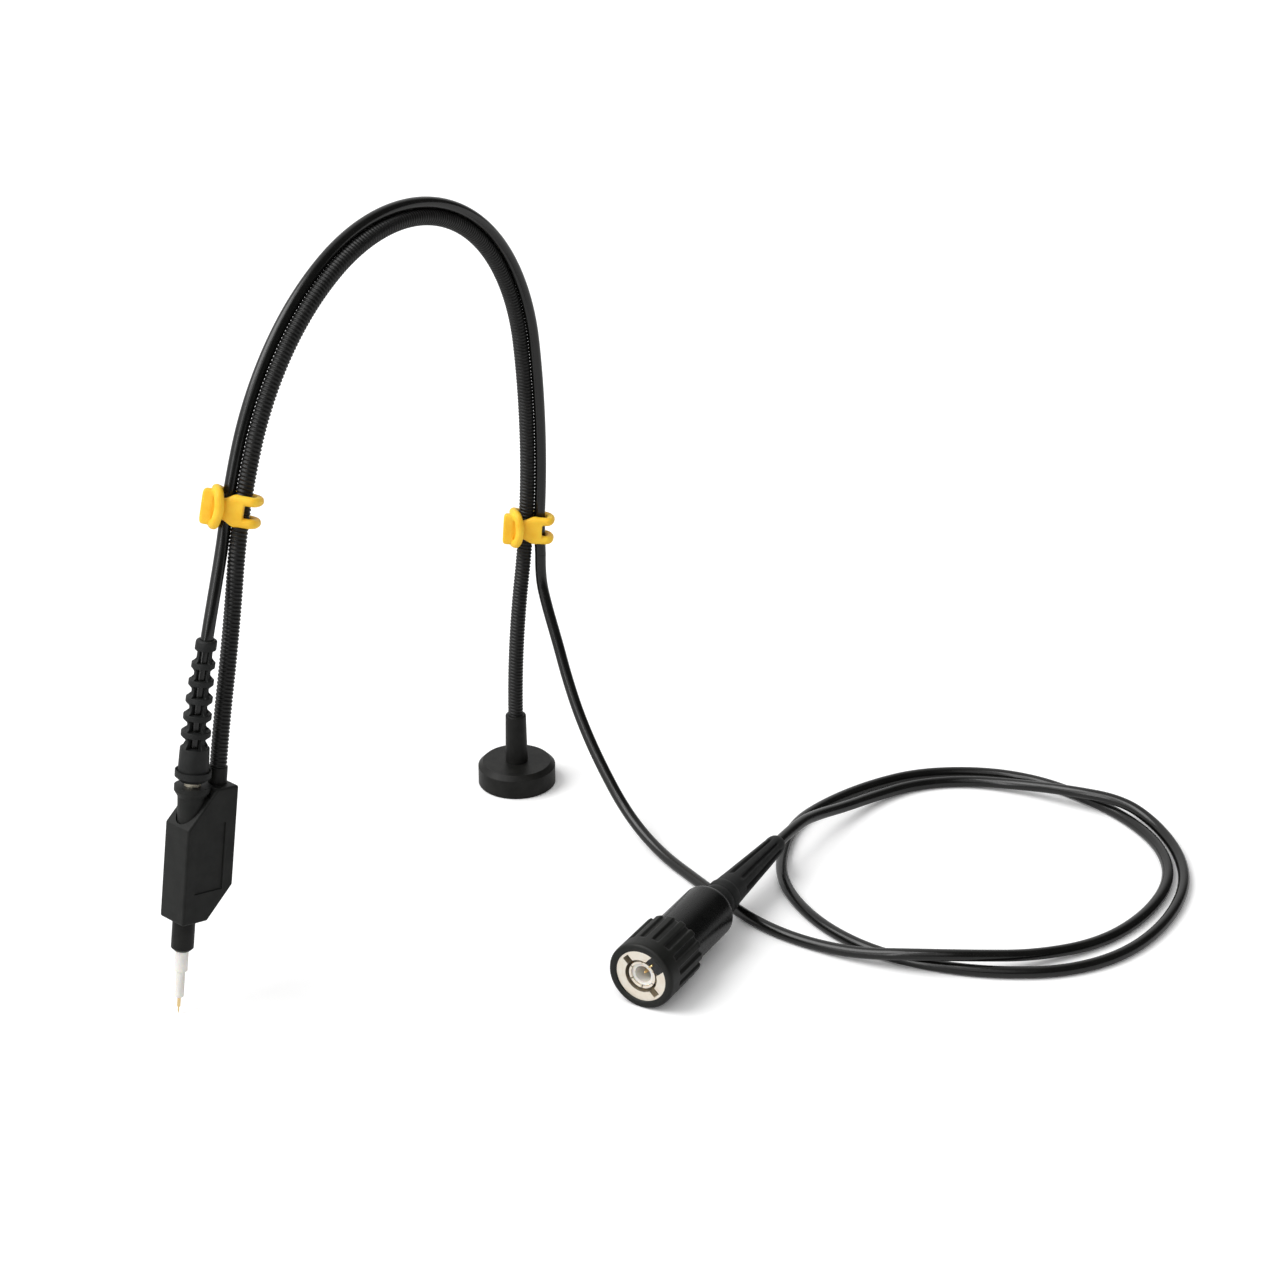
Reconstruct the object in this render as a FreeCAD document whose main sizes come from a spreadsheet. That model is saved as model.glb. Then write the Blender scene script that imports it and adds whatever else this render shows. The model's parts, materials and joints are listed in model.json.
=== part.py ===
import FreeCAD, Part
import math
import os
import Sketcher

# A hands-free probe for circuit boards: a round foot with a magnet, a gooseneck arm, a probe head
# with a sprung needle, and the signal cable with its bayonet plug. Millimetres. The origin is the
# middle of the foot's underside, the arm stands in the plane y = 0 and the head is towards +X.

V = FreeCAD.Vector
doc = FreeCAD.newDocument("handsFreeProbe")
sheet = doc.addObject("Spreadsheet::Sheet", "Sizes")

sizes = {
    # clearances
    "glueGap": "0.2",
    "fitGap": "0.05",
    "turnGap": "0.1",
    "ballGap": "0.1",
    # foot
    "footDiameter": "24.2",
    "footHeight": "7.6",
    "footChamfer": "1.45",
    "footEdge": "0.4",
    "magnetDiameter": "18",
    "magnetHeight": "3.9",
    # socket of the arm
    "socketFootDiameter": "7.0",
    "socketRimDiameter": "6.4",
    "socketHeight": "16.2",
    "socketRound": "0.6",
    "studDiameter": "4",
    "studLength": "2.9",
    "armSeat": "9.8",
    # arm and cable
    "armDiameter": "4.3",
    "cableDiameter": "3.4",
    "cableStandOff": "4.15",
    "armSpan": "379.15",
    "cableLowEnd": "53",
    "cableLowStation": "66",
    "cableLowShift": "0.9",
    "cableLead": "13",
    "cableClear": "18.5",
    "cableBendReach": "6",
    "cableSideLift": "0.25",
    "cableTipStart": "12.5",
    "cableTipEnd": "25.5",
    "cableTipEntry": "50",
    # probe head
    "headTwist": "-11",
    "headThickness": "10",
    "shoulderHalf": "3.6",
    "housingFront": "12.8",
    "slopeDrop": "10.2",
    "housingLength": "37.5",
    "heelWidth": "4.4",
    "backLength": "28.5",
    "housingWall": "1.3",
    "coverThickness": "1.2",
    "housingRound": "0.7",
    "cavityTop": "12.5",
    "armBoreDepth": "7",
    "labelLeft": "0.2",
    "labelRight": "9.4",
    "labelTop": "9.8",
    "labelBottom": "29",
    "labelDepth": "0.35",
    "needleOffset": "8.4",
    # collar where the arm enters the head
    "collarDiameter": "5.2",
    "collarHeight": "4.7",
    "collarRound": "0.4",
    # socket and plug of the cable at the head
    "socketStemDiameter": "7.6",
    "socketTaper": "0.5",
    "socketFlareStart": "2.4",
    "socketFlangeHalf": "0.7",
    "socketFlangeDiameter": "9.7",
    "contactDiameter": "4.4",
    "contactDepth": "6",
    "gripBottom": "1.9",
    "gripNeckDiameter": "6.6",
    "gripChamferTop": "3.3",
    "gripDiameter": "9.8",
    "gripTop": "5",
    "gripRecess": "0.6",
    "gripRim": "0.35",
    # boot of the cable at the head
    "bootBaseDiameter": "8.4",
    "bootShoulderDiameter": "7.9",
    "bootShoulderTop": "11.5",
    "bootShoulderRound": "0.7",
    "bootTubeLow": "6.2",
    "bootTubeHigh": "4.7",
    "bootCollarDiameter": "5.7",
    "bootCollarBottom": "38.3",
    "bootTop": "41",
    "bootRingLow": "8",
    "bootRingHigh": "6.3",
    "bootRingRound": "0.5",
    "windowPitch": "4.7",
    "windowHeight": "3.2",
    "windowWidth": "2.6",
    "windowCount": "6",
    "windowTop": "36.5",
    "bootTurn": "47",
    # nose, insulator and needle
    "noseDiameter": "6.2",
    "noseBottom": "=housingLength + 9.1",
    "noseChamfer": "0.8",
    "noseStemDiameter": "5",
    "noseStemRise": "1",
    "insulatorDiameter": "3.6",
    "insulatorTop": "=housingLength - 1.5",
    "insulatorStep": "=noseBottom + 6",
    "insulatorTipDiameter": "2.45",
    "insulatorBottom": "=insulatorStep + 8",
    "insulatorRound": "0.6",
    "barrelDiameter": "1.5",
    "barrelTop": "=housingLength - 4.5",
    "barrelStep": "=insulatorBottom - 3.6",
    "barrelTipDiameter": "0.95",
    "barrelBottom": "=insulatorBottom + 2.65",
    "barrelWall": "0.18",
    "springTop": "=housingLength + 7.5",
    "needleDiameter": "0.45",
    "needleTip": "=barrelBottom + 2.25",
    "needlePoint": "1",
    "needleHeadLength": "1",
    # board in the head
    "boardThickness": "1",
    "boardLeft": "3",
    "boardRight": "10.6",
    "boardTop": "13.5",
    "bossDiameter": "2.4",
    "bossUpper": "16",
    "bossLower": "28",
    "resistorLength": "3.2",
    "resistorWidth": "1.6",
    "resistorHeight": "0.6",
    "resistorDepth": "18",
    "capacitorSide": "2.4",
    "capacitorHeight": "1.4",
    "capacitorDepth": "24",
    # plug coupling
    "plugX": "89",
    "plugY": "102.9",
    "plugHeading": "3.65",
    "shellDiameter": "19.7",
    "shellLength": "18",
    "shellRound": "0.6",
    "ringDiameter": "15.2",
    "ringFront": "0.4",
    "ringRear": "15.9",
    "ringBore": "9.8",
    "notchWidth": "2.1",
    "notchRadius": "6.9",
    "slotStart": "4.4",
    "slotEnd": "6.5",
    "slotSweep": "95",
    "gripGrooveCount": "16",
    "gripGrooveStart": "5",
    "gripGrooveRadius": "0.9",
    "gripGrooveDepth": "0.45",
    "ringTurn": "-45",
    "readoutWidth": "4.8",
    "readoutInner": "4.9",
    "readoutOuter": "7.2",
    "readoutDepth": "6",
    "readoutWire": "0.5",
    "readoutReach": "4.6",
    # plug core and contacts
    "coreFront": "11",
    "coreNeckDiameter": "11.8",
    "coreNeckFront": "16.1",
    "coreRear": "23",
    "coreBore": "7.5",
    "clipGrooveFront": "13.1",
    "clipGrooveRear": "13.9",
    "clipGrooveDiameter": "8.8",
    "clipDiameter": "10.4",
    "outerContactDiameter": "8.1",
    "outerContactFront": "1",
    "outerContactBore": "6.9",
    "contactSlotCount": "6",
    "contactSlotWidth": "0.35",
    "contactSlotEnd": "8.5",
    "plugInsulatorFront": "1.6",
    "plugInsulatorBore": "4.95",
    "plugInsulatorWeb": "12",
    "plugInsulatorRear": "22",
    "pinDiameter": "1.35",
    "pinFront": "4.5",
    "pinPoint": "1.5",
    "pinRear": "26",
    "washerThickness": "0.5",
    # plug body, board, clamp and boot
    "plugBodyDiameter": "16.1",
    "plugBodyFront": "18.3",
    "plugBodyRear": "41.2",
    "plugBodyRound": "2.3",
    "plugBodyWall": "1.4",
    "plugBoardRear": "33",
    "plugBoardWidth": "12",
    "trimmerSide": "3",
    "trimmerHeight": "2.4",
    "clampDiameter": "6",
    "clampRear": "38",
    "plugBootStem": "6.2",
    "plugBootDiameter": "9.9",
    "plugBootCollar": "47",
    "plugBootTipDiameter": "6.3",
    "plugBootEnd": "84.9",
    "plugBootRound": "1.2",
    "bootGrooveCount": "6",
    "bootGrooveStart": "53",
    "bootGrooveEnd": "80",
    "bootGrooveWidth": "1.4",
    "bootGrooveDepth": "0.7",
    # cable ties
    "tieCord": "2.6",
    "tieStrapWidth": "8.8",
    "tieWaist": "5.7",
    "tieLobe": "2.9",
    "tieLoopHalf": "4.9",
    "tieSlabLength": "9",
    "tieSlabThickness": "3",
    "tieLowerPlace": "61.5",
    "tieUpperPlace": "304",
}

# The arm, from the rim of its socket to the head: the length of each bend, and the heading in
# degrees from +Z towards +X that it ends in. It leaves the socket upright. The lengths are those
# of an arm of 379.15, and follow its span.
armBends = [
    (45.3, -12.0),
    (43.2, 0.6),
    (32.2, 8.4),
    (30.1, 35.7),
    (26.2, 62.1),
    (27.1, 88.6),
    (29.2, 115.5),
    (30.2, 138.3),
    (25.1, 156.4),
    (33.2, 168.8),
    (30.2, 165.3),
    (27.05, 169.0),
]
for number, (length, heading) in enumerate(armBends):
    sizes["armLength" + "ABCDEFGHIJKL"[number]] = "=armSpan * %s / 379.15" % length
    sizes["armHeading" + "ABCDEFGHIJKL"[number]] = str(heading)

for row, (name, number) in enumerate(sizes.items(), 1):
    sheet.set("A%d" % row, name)
    sheet.set("B%d" % row, number)
    sheet.setAlias("B%d" % row, name)
doc.recompute()


def value(formula):
    # the number that a formula of sheet names gives
    return float(sheet.evalExpression(formula))


def bound(formula):
    # the same formula for an object outside the sheet
    words = []
    word = ""
    for sign in formula + " ":
        if sign.isalnum():
            word += sign
            continue
        words.append("Sizes." + word if word in sizes else word)
        words.append(sign)
        word = ""
    return "".join(words).strip()


def bind(thing, field, formula):
    thing.setExpression(field, bound(formula))


# Pieces made of sketches and features

pieces = []


def new_body(name, place=None):
    body = doc.addObject("PartDesign::Body", name)
    body.Label = name
    if place:
        body.Placement = place
    pieces.append(body)
    return body


def origin_part(body, role):
    return [part for part in body.Origin.OriginFeatures if part.Role == role][0]


def attached(body, name, plane, lift):
    sketch = body.newObject("Sketcher::SketchObject", name)
    sketch.AttachmentSupport = (origin_part(body, plane), [""])
    sketch.MapMode = "FlatFace"
    bind(sketch, "AttachmentOffset.Base.z", lift)
    return sketch


def outline(body, name, plane, corners, lift="0"):
    # a closed outline with straight sides, each corner a pair of formulas
    sketch = attached(body, name, plane, lift)
    spots = [(value(across), value(up)) for across, up in corners]
    count = len(corners)
    for number, (across, up) in enumerate(spots):
        following = spots[(number + 1) % count]
        sketch.addGeometry(Part.LineSegment(V(across, up, 0), V(*following, 0)))
    for number in range(count):
        sketch.addConstraint(Sketcher.Constraint("Coincident", number, 2, (number + 1) % count, 1))
    for number, (across, up) in enumerate(corners):
        for kind, formula in (("DistanceX", across), ("DistanceY", up)):
            rule = Sketcher.Constraint(kind, -1, 1, number, 1, value(formula))
            place = sketch.addConstraint(rule)
            bind(sketch, "Constraints[%d]" % place, formula)
    return sketch


def circle(body, name, plane, across, up, diameter, lift="0"):
    sketch = attached(body, name, plane, lift)
    middle = V(value(across), value(up), 0)
    sketch.addGeometry(Part.Circle(middle, V(0, 0, 1), value(diameter) / 2))
    rules = (("DistanceX", across), ("DistanceY", up))
    for kind, formula in rules:
        place = sketch.addConstraint(Sketcher.Constraint(kind, -1, 1, 0, 3, value(formula)))
        bind(sketch, "Constraints[%d]" % place, formula)
    place = sketch.addConstraint(Sketcher.Constraint("Diameter", 0, value(diameter)))
    bind(sketch, "Constraints[%d]" % place, diameter)
    return sketch


def block(left, right, low, high):
    return [(left, low), (right, low), (right, high), (left, high)]


def turned(name, corners, place=None):
    # a piece turned about its own Z, corners are (radius, height)
    body = new_body(name, place)
    feature = body.newObject("PartDesign::Revolution", "turning")
    feature.Profile = outline(body, "profile", "XZ_Plane", corners)
    feature.ReferenceAxis = (feature.Profile[0], ["V_Axis"])
    feature.Angle = 360
    body.Tip = feature
    doc.recompute()
    return body


def raised(body, sketch, height, both=False):
    feature = body.newObject("PartDesign::Pad", "pad")
    feature.Profile = sketch
    feature.SideType = "Symmetric" if both else "One side"
    bind(feature, "Length", height)
    body.Tip = feature
    doc.recompute()
    return feature


def cut(body, sketch, depth=None, both=False, ahead=False):
    # cuts against the sketch's normal, or along it where ahead is true
    before = body.Shape.Volume
    feature = body.newObject("PartDesign::Pocket", "cut")
    feature.Profile = sketch
    feature.SideType = "Symmetric" if both else "One side"
    feature.Reversed = ahead
    if depth:
        bind(feature, "Length", depth)
    else:
        feature.Type = "ThroughAll"
    body.Tip = feature
    doc.recompute()
    if body.Shape.Volume >= before:
        raise ValueError(body.Label + ": a cut takes nothing away")
    return feature


def around(body, feature, count):
    pattern = body.newObject("PartDesign::PolarPattern", "round")
    pattern.Originals = [feature]
    pattern.Axis = (origin_part(body, "Z_Axis"), [""])
    pattern.Angle = 360
    bind(pattern, "Occurrences", count)
    body.Tip = pattern
    doc.recompute()
    return pattern


def along(body, feature, axis, backwards, extent, count):
    pattern = body.newObject("PartDesign::LinearPattern", "row")
    pattern.Originals = [feature]
    pattern.Direction = (origin_part(body, axis), [""])
    pattern.Reversed = backwards
    bind(pattern, "Length", extent)
    bind(pattern, "Occurrences", count)
    body.Tip = pattern
    doc.recompute()
    return pattern


def near(one, other):
    return abs(one - other) < 0.001


def rounded(body, radius, rims=None, test=None):
    # rounds the circular edges at the given (radius, height) pairs, or the edges that pass a test
    spots = [(value(across), value(up)) for across, up in rims or []]
    names = []
    base = body.Tip
    for number, edge in enumerate(base.Shape.Edges, 1):
        curve = edge.Curve
        wanted = test(edge) if test else False
        if isinstance(curve, Part.Circle):
            wanted = wanted or any(near(curve.Radius, r) and near(curve.Center.z, h) for r, h in spots)
        if wanted:
            names.append("Edge%d" % number)
    feature = body.newObject("PartDesign::Fillet", "rounding")
    feature.Base = (base, names)
    bind(feature, "Radius", radius)
    body.Tip = feature
    doc.recompute()
    if not names or "Invalid" in feature.State:
        raise ValueError(body.Label + ": a rounding fails")


def box(name, left, right, front, rear, low, high, place):
    piece = doc.addObject("Part::Box", name)
    piece.Label = name
    bind(piece, "Length", "(%s) - (%s)" % (right, left))
    bind(piece, "Width", "(%s) - (%s)" % (rear, front))
    bind(piece, "Height", "(%s) - (%s)" % (high, low))
    corner = V(value(left), value(front), value(low))
    piece.Placement = place.multiply(FreeCAD.Placement(corner, FreeCAD.Rotation()))
    pieces.append(piece)
    return piece


def formed(name, shape, place=None):
    piece = doc.addObject("Part::Feature", name)
    piece.Label = name
    piece.Shape = shape
    if place:
        piece.Placement = place
    pieces.append(piece)
    return piece


# Course of the arm

socketTop = value("footHeight + socketHeight")
armRadius = value("armDiameter / 2")
cableRadius = value("cableDiameter / 2")
bends = []
bendEnd = (0.0, 0.0, socketTop, 0.0)
for letter in "ABCDEFGHIJKL":
    bendLength = value("armLength" + letter)
    bendHeading = math.radians(value("armHeading" + letter))
    bends.append(bendEnd + (bendLength, bendHeading))
    travelled, acrossStart, upStart, headingStart = bendEnd
    curving = (bendHeading - headingStart) / bendLength
    bendEnd = (
        travelled + bendLength,
        acrossStart + (math.cos(headingStart) - math.cos(bendHeading)) / curving,
        upStart + (math.sin(bendHeading) - math.sin(headingStart)) / curving,
        bendHeading,
    )
armLength = bendEnd[0]


def arm_at(distance):
    # place and heading of the arm at a distance from the socket's rim, each bend a circular arc
    bend = [one for one in bends if one[0] <= distance or one is bends[0]][-1]
    start, across, up, heading, length, headingEnd = bend
    curving = (headingEnd - heading) / length
    here = heading + curving * (distance - start)
    x = across + (math.cos(heading) - math.cos(here)) / curving
    z = up + (math.sin(here) - math.sin(heading)) / curving
    return V(x, 0, z), here


def arm_wire(start, end, lead=None):
    edges = []
    if lead:
        edges.append(Part.LineSegment(lead, arm_at(0)[0]).toShape())
    marks = [start] + [bend[0] for bend in bends if start < bend[0] < end] + [end]
    for one, other in zip(marks, marks[1:]):
        middle = arm_at((one + other) / 2)[0]
        edges.append(Part.Arc(arm_at(one)[0], middle, arm_at(other)[0]).toShape())
    return Part.Wire(edges)


def rod(wire, radius, name):
    # a round rod along a wire, its volume compared with its section times its length
    first = wire.OrderedEdges[0]
    start = wire.OrderedVertexes[0].Point
    ring = Part.Wire(Part.makeCircle(radius, start, first.tangentAt(first.FirstParameter)))
    solid = wire.makePipeShell([ring], True, False)
    expected = math.pi * radius ** 2 * wire.Length
    if abs(solid.Volume - expected) > 0.01 * expected:
        raise ValueError(name + ": the rod's volume is not its section times its length")
    return solid


# Side of the arm that the cable lies on: degrees round the arm from its outer side towards +Y
cableSides = [(0, 57), (110, 57), (136, 48), (163, 24), (190, 0), (204.1, -15), (214, -30)]
cableSides += [(235, -50), (255, -58), (262, -61), (400, -61)]


def cable_side(distance):
    # unit vector from the arm's middle to the cable's
    for (one, angle), (other, angleAfter) in zip(cableSides, cableSides[1:]):
        if distance <= other:
            angle += (angleAfter - angle) * (distance - one) / (other - one)
            break
    heading = arm_at(distance)[1]
    outward = V(-math.cos(heading), 0, math.sin(heading))
    return outward * math.cos(math.radians(angle)) + V(0, 1, 0) * math.sin(math.radians(angle))


def cable_at(distance, lift=0.0):
    return arm_at(distance)[0] + cable_side(distance) * (value("cableStandOff") + lift)


def cable_heading(distance):
    way = cable_at(distance + 0.5) - cable_at(distance - 0.5)
    return way.normalize()


def run_wire(points, name):
    # straight runs joined by tangent arcs, each as large as its two runs allow
    edges = []
    radii = []
    start = points[0]
    for before, corner, after in zip(points, points[1:], points[2:]):
        back = before - corner
        ahead = after - corner
        halfTurn = (math.pi - back.getAngle(ahead)) / 2
        reach = 0.45 * min(back.Length, ahead.Length)
        radius = reach / math.tan(halfTurn)
        arcStart = corner + back * (reach / back.Length)
        arcEnd = corner + ahead * (reach / ahead.Length)
        inward = (back * (1 / back.Length) + ahead * (1 / ahead.Length)).normalize()
        middle = corner + inward * (radius / math.cos(halfTurn) - radius)
        edges.append(Part.LineSegment(start, arcStart).toShape())
        edges.append(Part.Arc(arcStart, middle, arcEnd).toShape())
        radii.append(round(radius, 1))
        start = arcEnd
    edges.append(Part.LineSegment(start, points[-1]).toShape())
    wire = Part.Wire(edges)
    print(name, "length %.1f" % wire.Length, "radii", radii)
    return wire


# Foot

turned("base_shell", [
    ("0", "magnetHeight"),
    ("magnetDiameter / 2 + glueGap", "magnetHeight"),
    ("magnetDiameter / 2 + glueGap", "0"),
    ("footDiameter / 2 - footEdge", "0"),
    ("footDiameter / 2", "footEdge"),
    ("footDiameter / 2", "footHeight - footChamfer"),
    ("footDiameter / 2 - footChamfer", "footHeight"),
    ("studDiameter / 2 + fitGap", "footHeight"),
    ("studDiameter / 2 + fitGap", "footHeight - studLength"),
    ("0", "footHeight - studLength"),
])

turned("base_magnet", [
    ("0", "0"),
    ("magnetDiameter / 2 - footEdge", "0"),
    ("magnetDiameter / 2", "footEdge"),
    ("magnetDiameter / 2", "magnetHeight"),
    ("0", "magnetHeight"),
])

neckSocket = turned("neck_socket", [
    ("0", "footHeight - studLength"),
    ("studDiameter / 2", "footHeight - studLength"),
    ("studDiameter / 2", "footHeight"),
    ("socketFootDiameter / 2", "footHeight"),
    ("socketRimDiameter / 2", "footHeight + socketHeight"),
    ("armDiameter / 2 + fitGap", "footHeight + socketHeight"),
    ("armDiameter / 2 + fitGap", "footHeight + socketHeight - armSeat"),
    ("0", "footHeight + socketHeight - armSeat"),
])
rounded(neckSocket, "socketRound", [("socketRimDiameter / 2", "footHeight + socketHeight")])

# Arm: four stretches that meet in ball ends at the three places where it bends

leanPlace = value("armLengthA + armLengthB")
swingPlace = leanPlace + value("armLengthC + armLengthD + armLengthE + armLengthF")
bendPlace = swingPlace + value("armLengthG + armLengthH + armLengthI")
jointPlaces = [leanPlace, swingPlace, bendPlace]
ballGap = value("ballGap")


def ball(middle, radius):
    return Part.makeSphere(radius, middle)


armSeatPoint = V(0, 0, socketTop - value("armSeat"))
armEndPoint = arm_at(armLength)[0]
armStops = [0] + jointPlaces + [armLength]
armNames = ["neck_lower", "neck_rear", "neck_front", "neck_tip"]
for number, name in enumerate(armNames):
    wire = arm_wire(armStops[number], armStops[number + 1], armSeatPoint if number == 0 else None)
    if name == "neck_tip":
        heading = arm_at(armLength)[1]
        seat = armEndPoint + V(math.sin(heading), 0, math.cos(heading)) * value("armBoreDepth")
        wire = Part.Wire(wire.OrderedEdges + [Part.LineSegment(armEndPoint, seat).toShape()])
    shape = rod(wire, armRadius, name)
    if number > 0:
        shape = shape.cut(ball(arm_at(armStops[number])[0], armRadius + ballGap))
    if number < 3:
        shape = shape.fuse(ball(arm_at(armStops[number + 1])[0], armRadius)).removeSplitter()
    formed(name, shape)

# Cable along the arm

cableLowEnd = value("cableLowEnd")
cableLowStation = value("cableLowStation")
cableClear = value("cableClear")
sideLift = value("cableSideLift")


def spread(start, end, count):
    # evenly spaced distances from start to end
    return [start + (end - start) * number / (count - 1) for number in range(count)]


cableStations = [
    ("cable_lower", [cableLowEnd, cableLowStation], [leanPlace]),
    (
        "cable_rear",
        spread(leanPlace + cableClear, swingPlace - cableClear, 7),
        [leanPlace, swingPlace],
    ),
    (
        "cable_front",
        spread(swingPlace + cableClear, bendPlace - cableClear, 5),
        [swingPlace, bendPlace],
    ),
    (
        "cable_tip",
        [bendPlace + value("cableTipStart"), bendPlace + value("cableTipEnd")],
        [bendPlace],
    ),
]


def joint_pair(place, after):
    # the joint's point and the next one along the cable, so that its middle passes the joint
    reach = value("cableBendReach") * (1 if after else -1)
    return cable_at(place), cable_at(place) + cable_heading(place) * reach


headPlace = FreeCAD.Placement(
    armEndPoint,
    FreeCAD.Rotation(V(0, 1, 0), math.degrees(arm_at(armLength)[1]) - 180)
    * FreeCAD.Rotation(V(0, 0, 1), value("headTwist")),
)
needleX = value("needleOffset")


def at_head(x, y, z):
    return headPlace.multVec(V(x, y, z))


cableFloor = value("gripTop - gripRecess")
tipPoints = [at_head(needleX, 0, value("cableTipEntry")), at_head(needleX, 0, cableFloor)]

# Below the lower tie the cable stands a little off the arm, away from its outer side
lowHeading = arm_at(cableLowEnd)[1]
lowAway = V(-0.54 * math.cos(lowHeading), 0.84, 0.54 * math.sin(lowHeading))
exitPoint = cable_at(cableLowEnd) + lowAway * value("cableLowShift")

for name, stations, joints in cableStations:
    points = [cable_at(station, sideLift) for station in stations]
    if name == "cable_lower":
        points[0] = exitPoint
    if name != "cable_lower":
        jointPoint, following = joint_pair(joints[0], True)
        points = [jointPoint, following] + points
    if name != "cable_tip":
        jointPoint, leading = joint_pair(joints[-1], False)
        points = points + [leading, jointPoint]
    else:
        points = points + tipPoints
    shape = rod(run_wire(points, name), cableRadius, name)
    if name != "cable_lower":
        shape = shape.cut(ball(cable_at(joints[0]), cableRadius + ballGap))
    if name != "cable_tip":
        shape = shape.fuse(ball(cable_at(joints[-1]), cableRadius)).removeSplitter()
    formed(name, shape)

# Cable ties: a strap with a waist and a handle in front, its two arms pass behind the arm and the
# cable and close in a loop round the waist. Own frame: X to the handle, Y to the front, Z along.


def tie(name, place, handleToArm, slack):
    # the slack gives the far side of the strap more room than the gap all round
    nearRadius = armRadius if handleToArm else cableRadius
    farRadius = cableRadius if handleToArm else armRadius
    cord = value("tieCord / 2")
    gap = value("turnGap")
    nearBack = nearRadius + gap + cord
    farBack = farRadius + gap + cord
    front = max(nearBack, farBack)
    apart = value("cableStandOff")
    lobe = value("tieLobe")
    loop = value("tieLoopHalf")
    hook = nearBack + cord
    farSide = -apart - farBack - 2 * gap - slack
    slabStart = hook + cord + gap
    slabEnd = slabStart + value("tieSlabThickness")
    waist = value("tieWaist / 2")
    wide = value("tieStrapWidth / 2")
    slab = value("tieSlabLength / 2")
    half = [(slabEnd, slab), (slabStart, slab), (slabStart, waist), (nearBack, waist), (0.5, wide)]
    half += [(-apart, lobe + cord)]
    corners = [V(x, front - cord, z) for x, z in half]
    corners += [V(x, front - cord, -z) for x, z in reversed(half)]
    strap = Part.Face(Part.makePolygon(corners + corners[:1])).extrude(V(0, 2 * cord, 0))
    over = front + 2 * cord + gap
    side = [
        V(-apart + cord, front, lobe),
        V(farSide, front, lobe),
        V(farSide, -farBack, lobe),
        V(nearBack / 2, -front - gap, lobe + gap),
        V(hook, -front / 2, loop),
        V(hook, front / 2, loop),
        V(hook, over, loop - gap),
    ]
    points = side + [V(point.x, point.y, -point.z) for point in reversed(side)]
    cordShape = rod(run_wire(points, name), cord, name)
    strap = strap.fuse(cordShape).removeSplitter()
    formed(name, strap, place)


def tie_place(distance, handleToArm):
    middle = arm_at(distance)[0] if handleToArm else cable_at(distance)
    across = cable_side(distance) * (-1 if handleToArm else 1)
    heading = arm_at(distance)[1]
    upward = V(math.sin(heading), 0, math.cos(heading)) * (1 if handleToArm else -1)
    forward = upward.cross(across)
    turn = FreeCAD.Rotation(across, forward, upward, "ZXY")
    return FreeCAD.Placement(middle, turn)


lowSlack = value("cableLowShift / 3")
tie("cable_clip_lower", tie_place(value("tieLowerPlace"), True), True, lowSlack)
tie("cable_clip_upper", tie_place(value("tieUpperPlace"), False), False, 0)

# Probe head, in its own frame: Z up along the end of the arm, X outward, Y to the label's side

needlePlace = headPlace.multiply(FreeCAD.Placement(V(needleX, 0, 0), FreeCAD.Rotation()))
heelRise = "(housingLength - backLength)"
heelRun = "(shoulderHalf + heelWidth)"
housingOutline = [
    ("-shoulderHalf", "0"),
    ("shoulderHalf", "0"),
    ("housingFront", "-slopeDrop"),
    ("housingFront", "-housingLength"),
    ("heelWidth", "-housingLength"),
    ("-shoulderHalf", "-backLength"),
]
cavityOutline = [
    ("-shoulderHalf + housingWall", "-cavityTop"),
    ("housingFront - housingWall", "-cavityTop"),
    ("housingFront - housingWall", "-housingLength + housingWall"),
    (
        "heelWidth + housingWall * tan(atan(%s / %s) / 2)" % (heelRise, heelRun),
        "-housingLength + housingWall",
    ),
    (
        "-shoulderHalf + housingWall",
        "-backLength + housingWall * tan(atan(%s / %s) / 2)" % (heelRun, heelRise),
    ),
]


def off_joint(edge):
    # an edge that isn't on the face where housing and cover meet
    joint = value("coverThickness - headThickness / 2")
    return not all(near(vertex.Point.y, joint) for vertex in edge.Vertexes)


housing = new_body("housing_body", headPlace)
raised(
    housing,
    outline(housing, "side", "XZ_Plane", housingOutline, "-headThickness / 2"),
    "headThickness - coverThickness",
)
rounded(housing, "housingRound", test=off_joint)
cut(
    housing,
    outline(housing, "cavity", "XZ_Plane", cavityOutline, "headThickness / 2 - coverThickness"),
    "headThickness - coverThickness - housingWall",
)
cut(
    housing,
    outline(
        housing,
        "label",
        "XZ_Plane",
        block("labelLeft", "labelRight", "-labelBottom", "-labelTop"),
        "-headThickness / 2",
    ),
    "labelDepth",
    ahead=True,
)
cut(
    housing,
    circle(housing, "armBore", "XY_Plane", "0", "0", "armDiameter + 2 * fitGap"),
    "armBoreDepth",
)
cut(
    housing,
    circle(housing, "socketBore", "XY_Plane", "needleOffset", "0", "socketStemDiameter + 2 * fitGap"),
    "cavityTop + fitGap",
)
cut(
    housing,
    circle(
        housing,
        "flareSeat",
        "XY_Plane",
        "needleOffset",
        "0",
        "socketFlangeDiameter + 2 * turnGap",
    ),
    "socketFlareStart + fitGap",
)
cut(
    housing,
    circle(
        housing,
        "noseBore",
        "XY_Plane",
        "needleOffset",
        "0",
        "noseStemDiameter + 2 * fitGap",
        "-housingLength",
    ),
    "housingWall + fitGap",
    ahead=True,
)
for bossHeight in ("bossUpper", "bossLower"):
    boss = circle(
        housing,
        "boss",
        "XZ_Plane",
        "(boardLeft + boardRight) / 2",
        "-" + bossHeight,
        "bossDiameter",
        "-headThickness / 2 + housingWall / 2",
    )
    raised(housing, boss, "headThickness / 2 - housingWall / 2 - boardThickness / 2")

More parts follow.
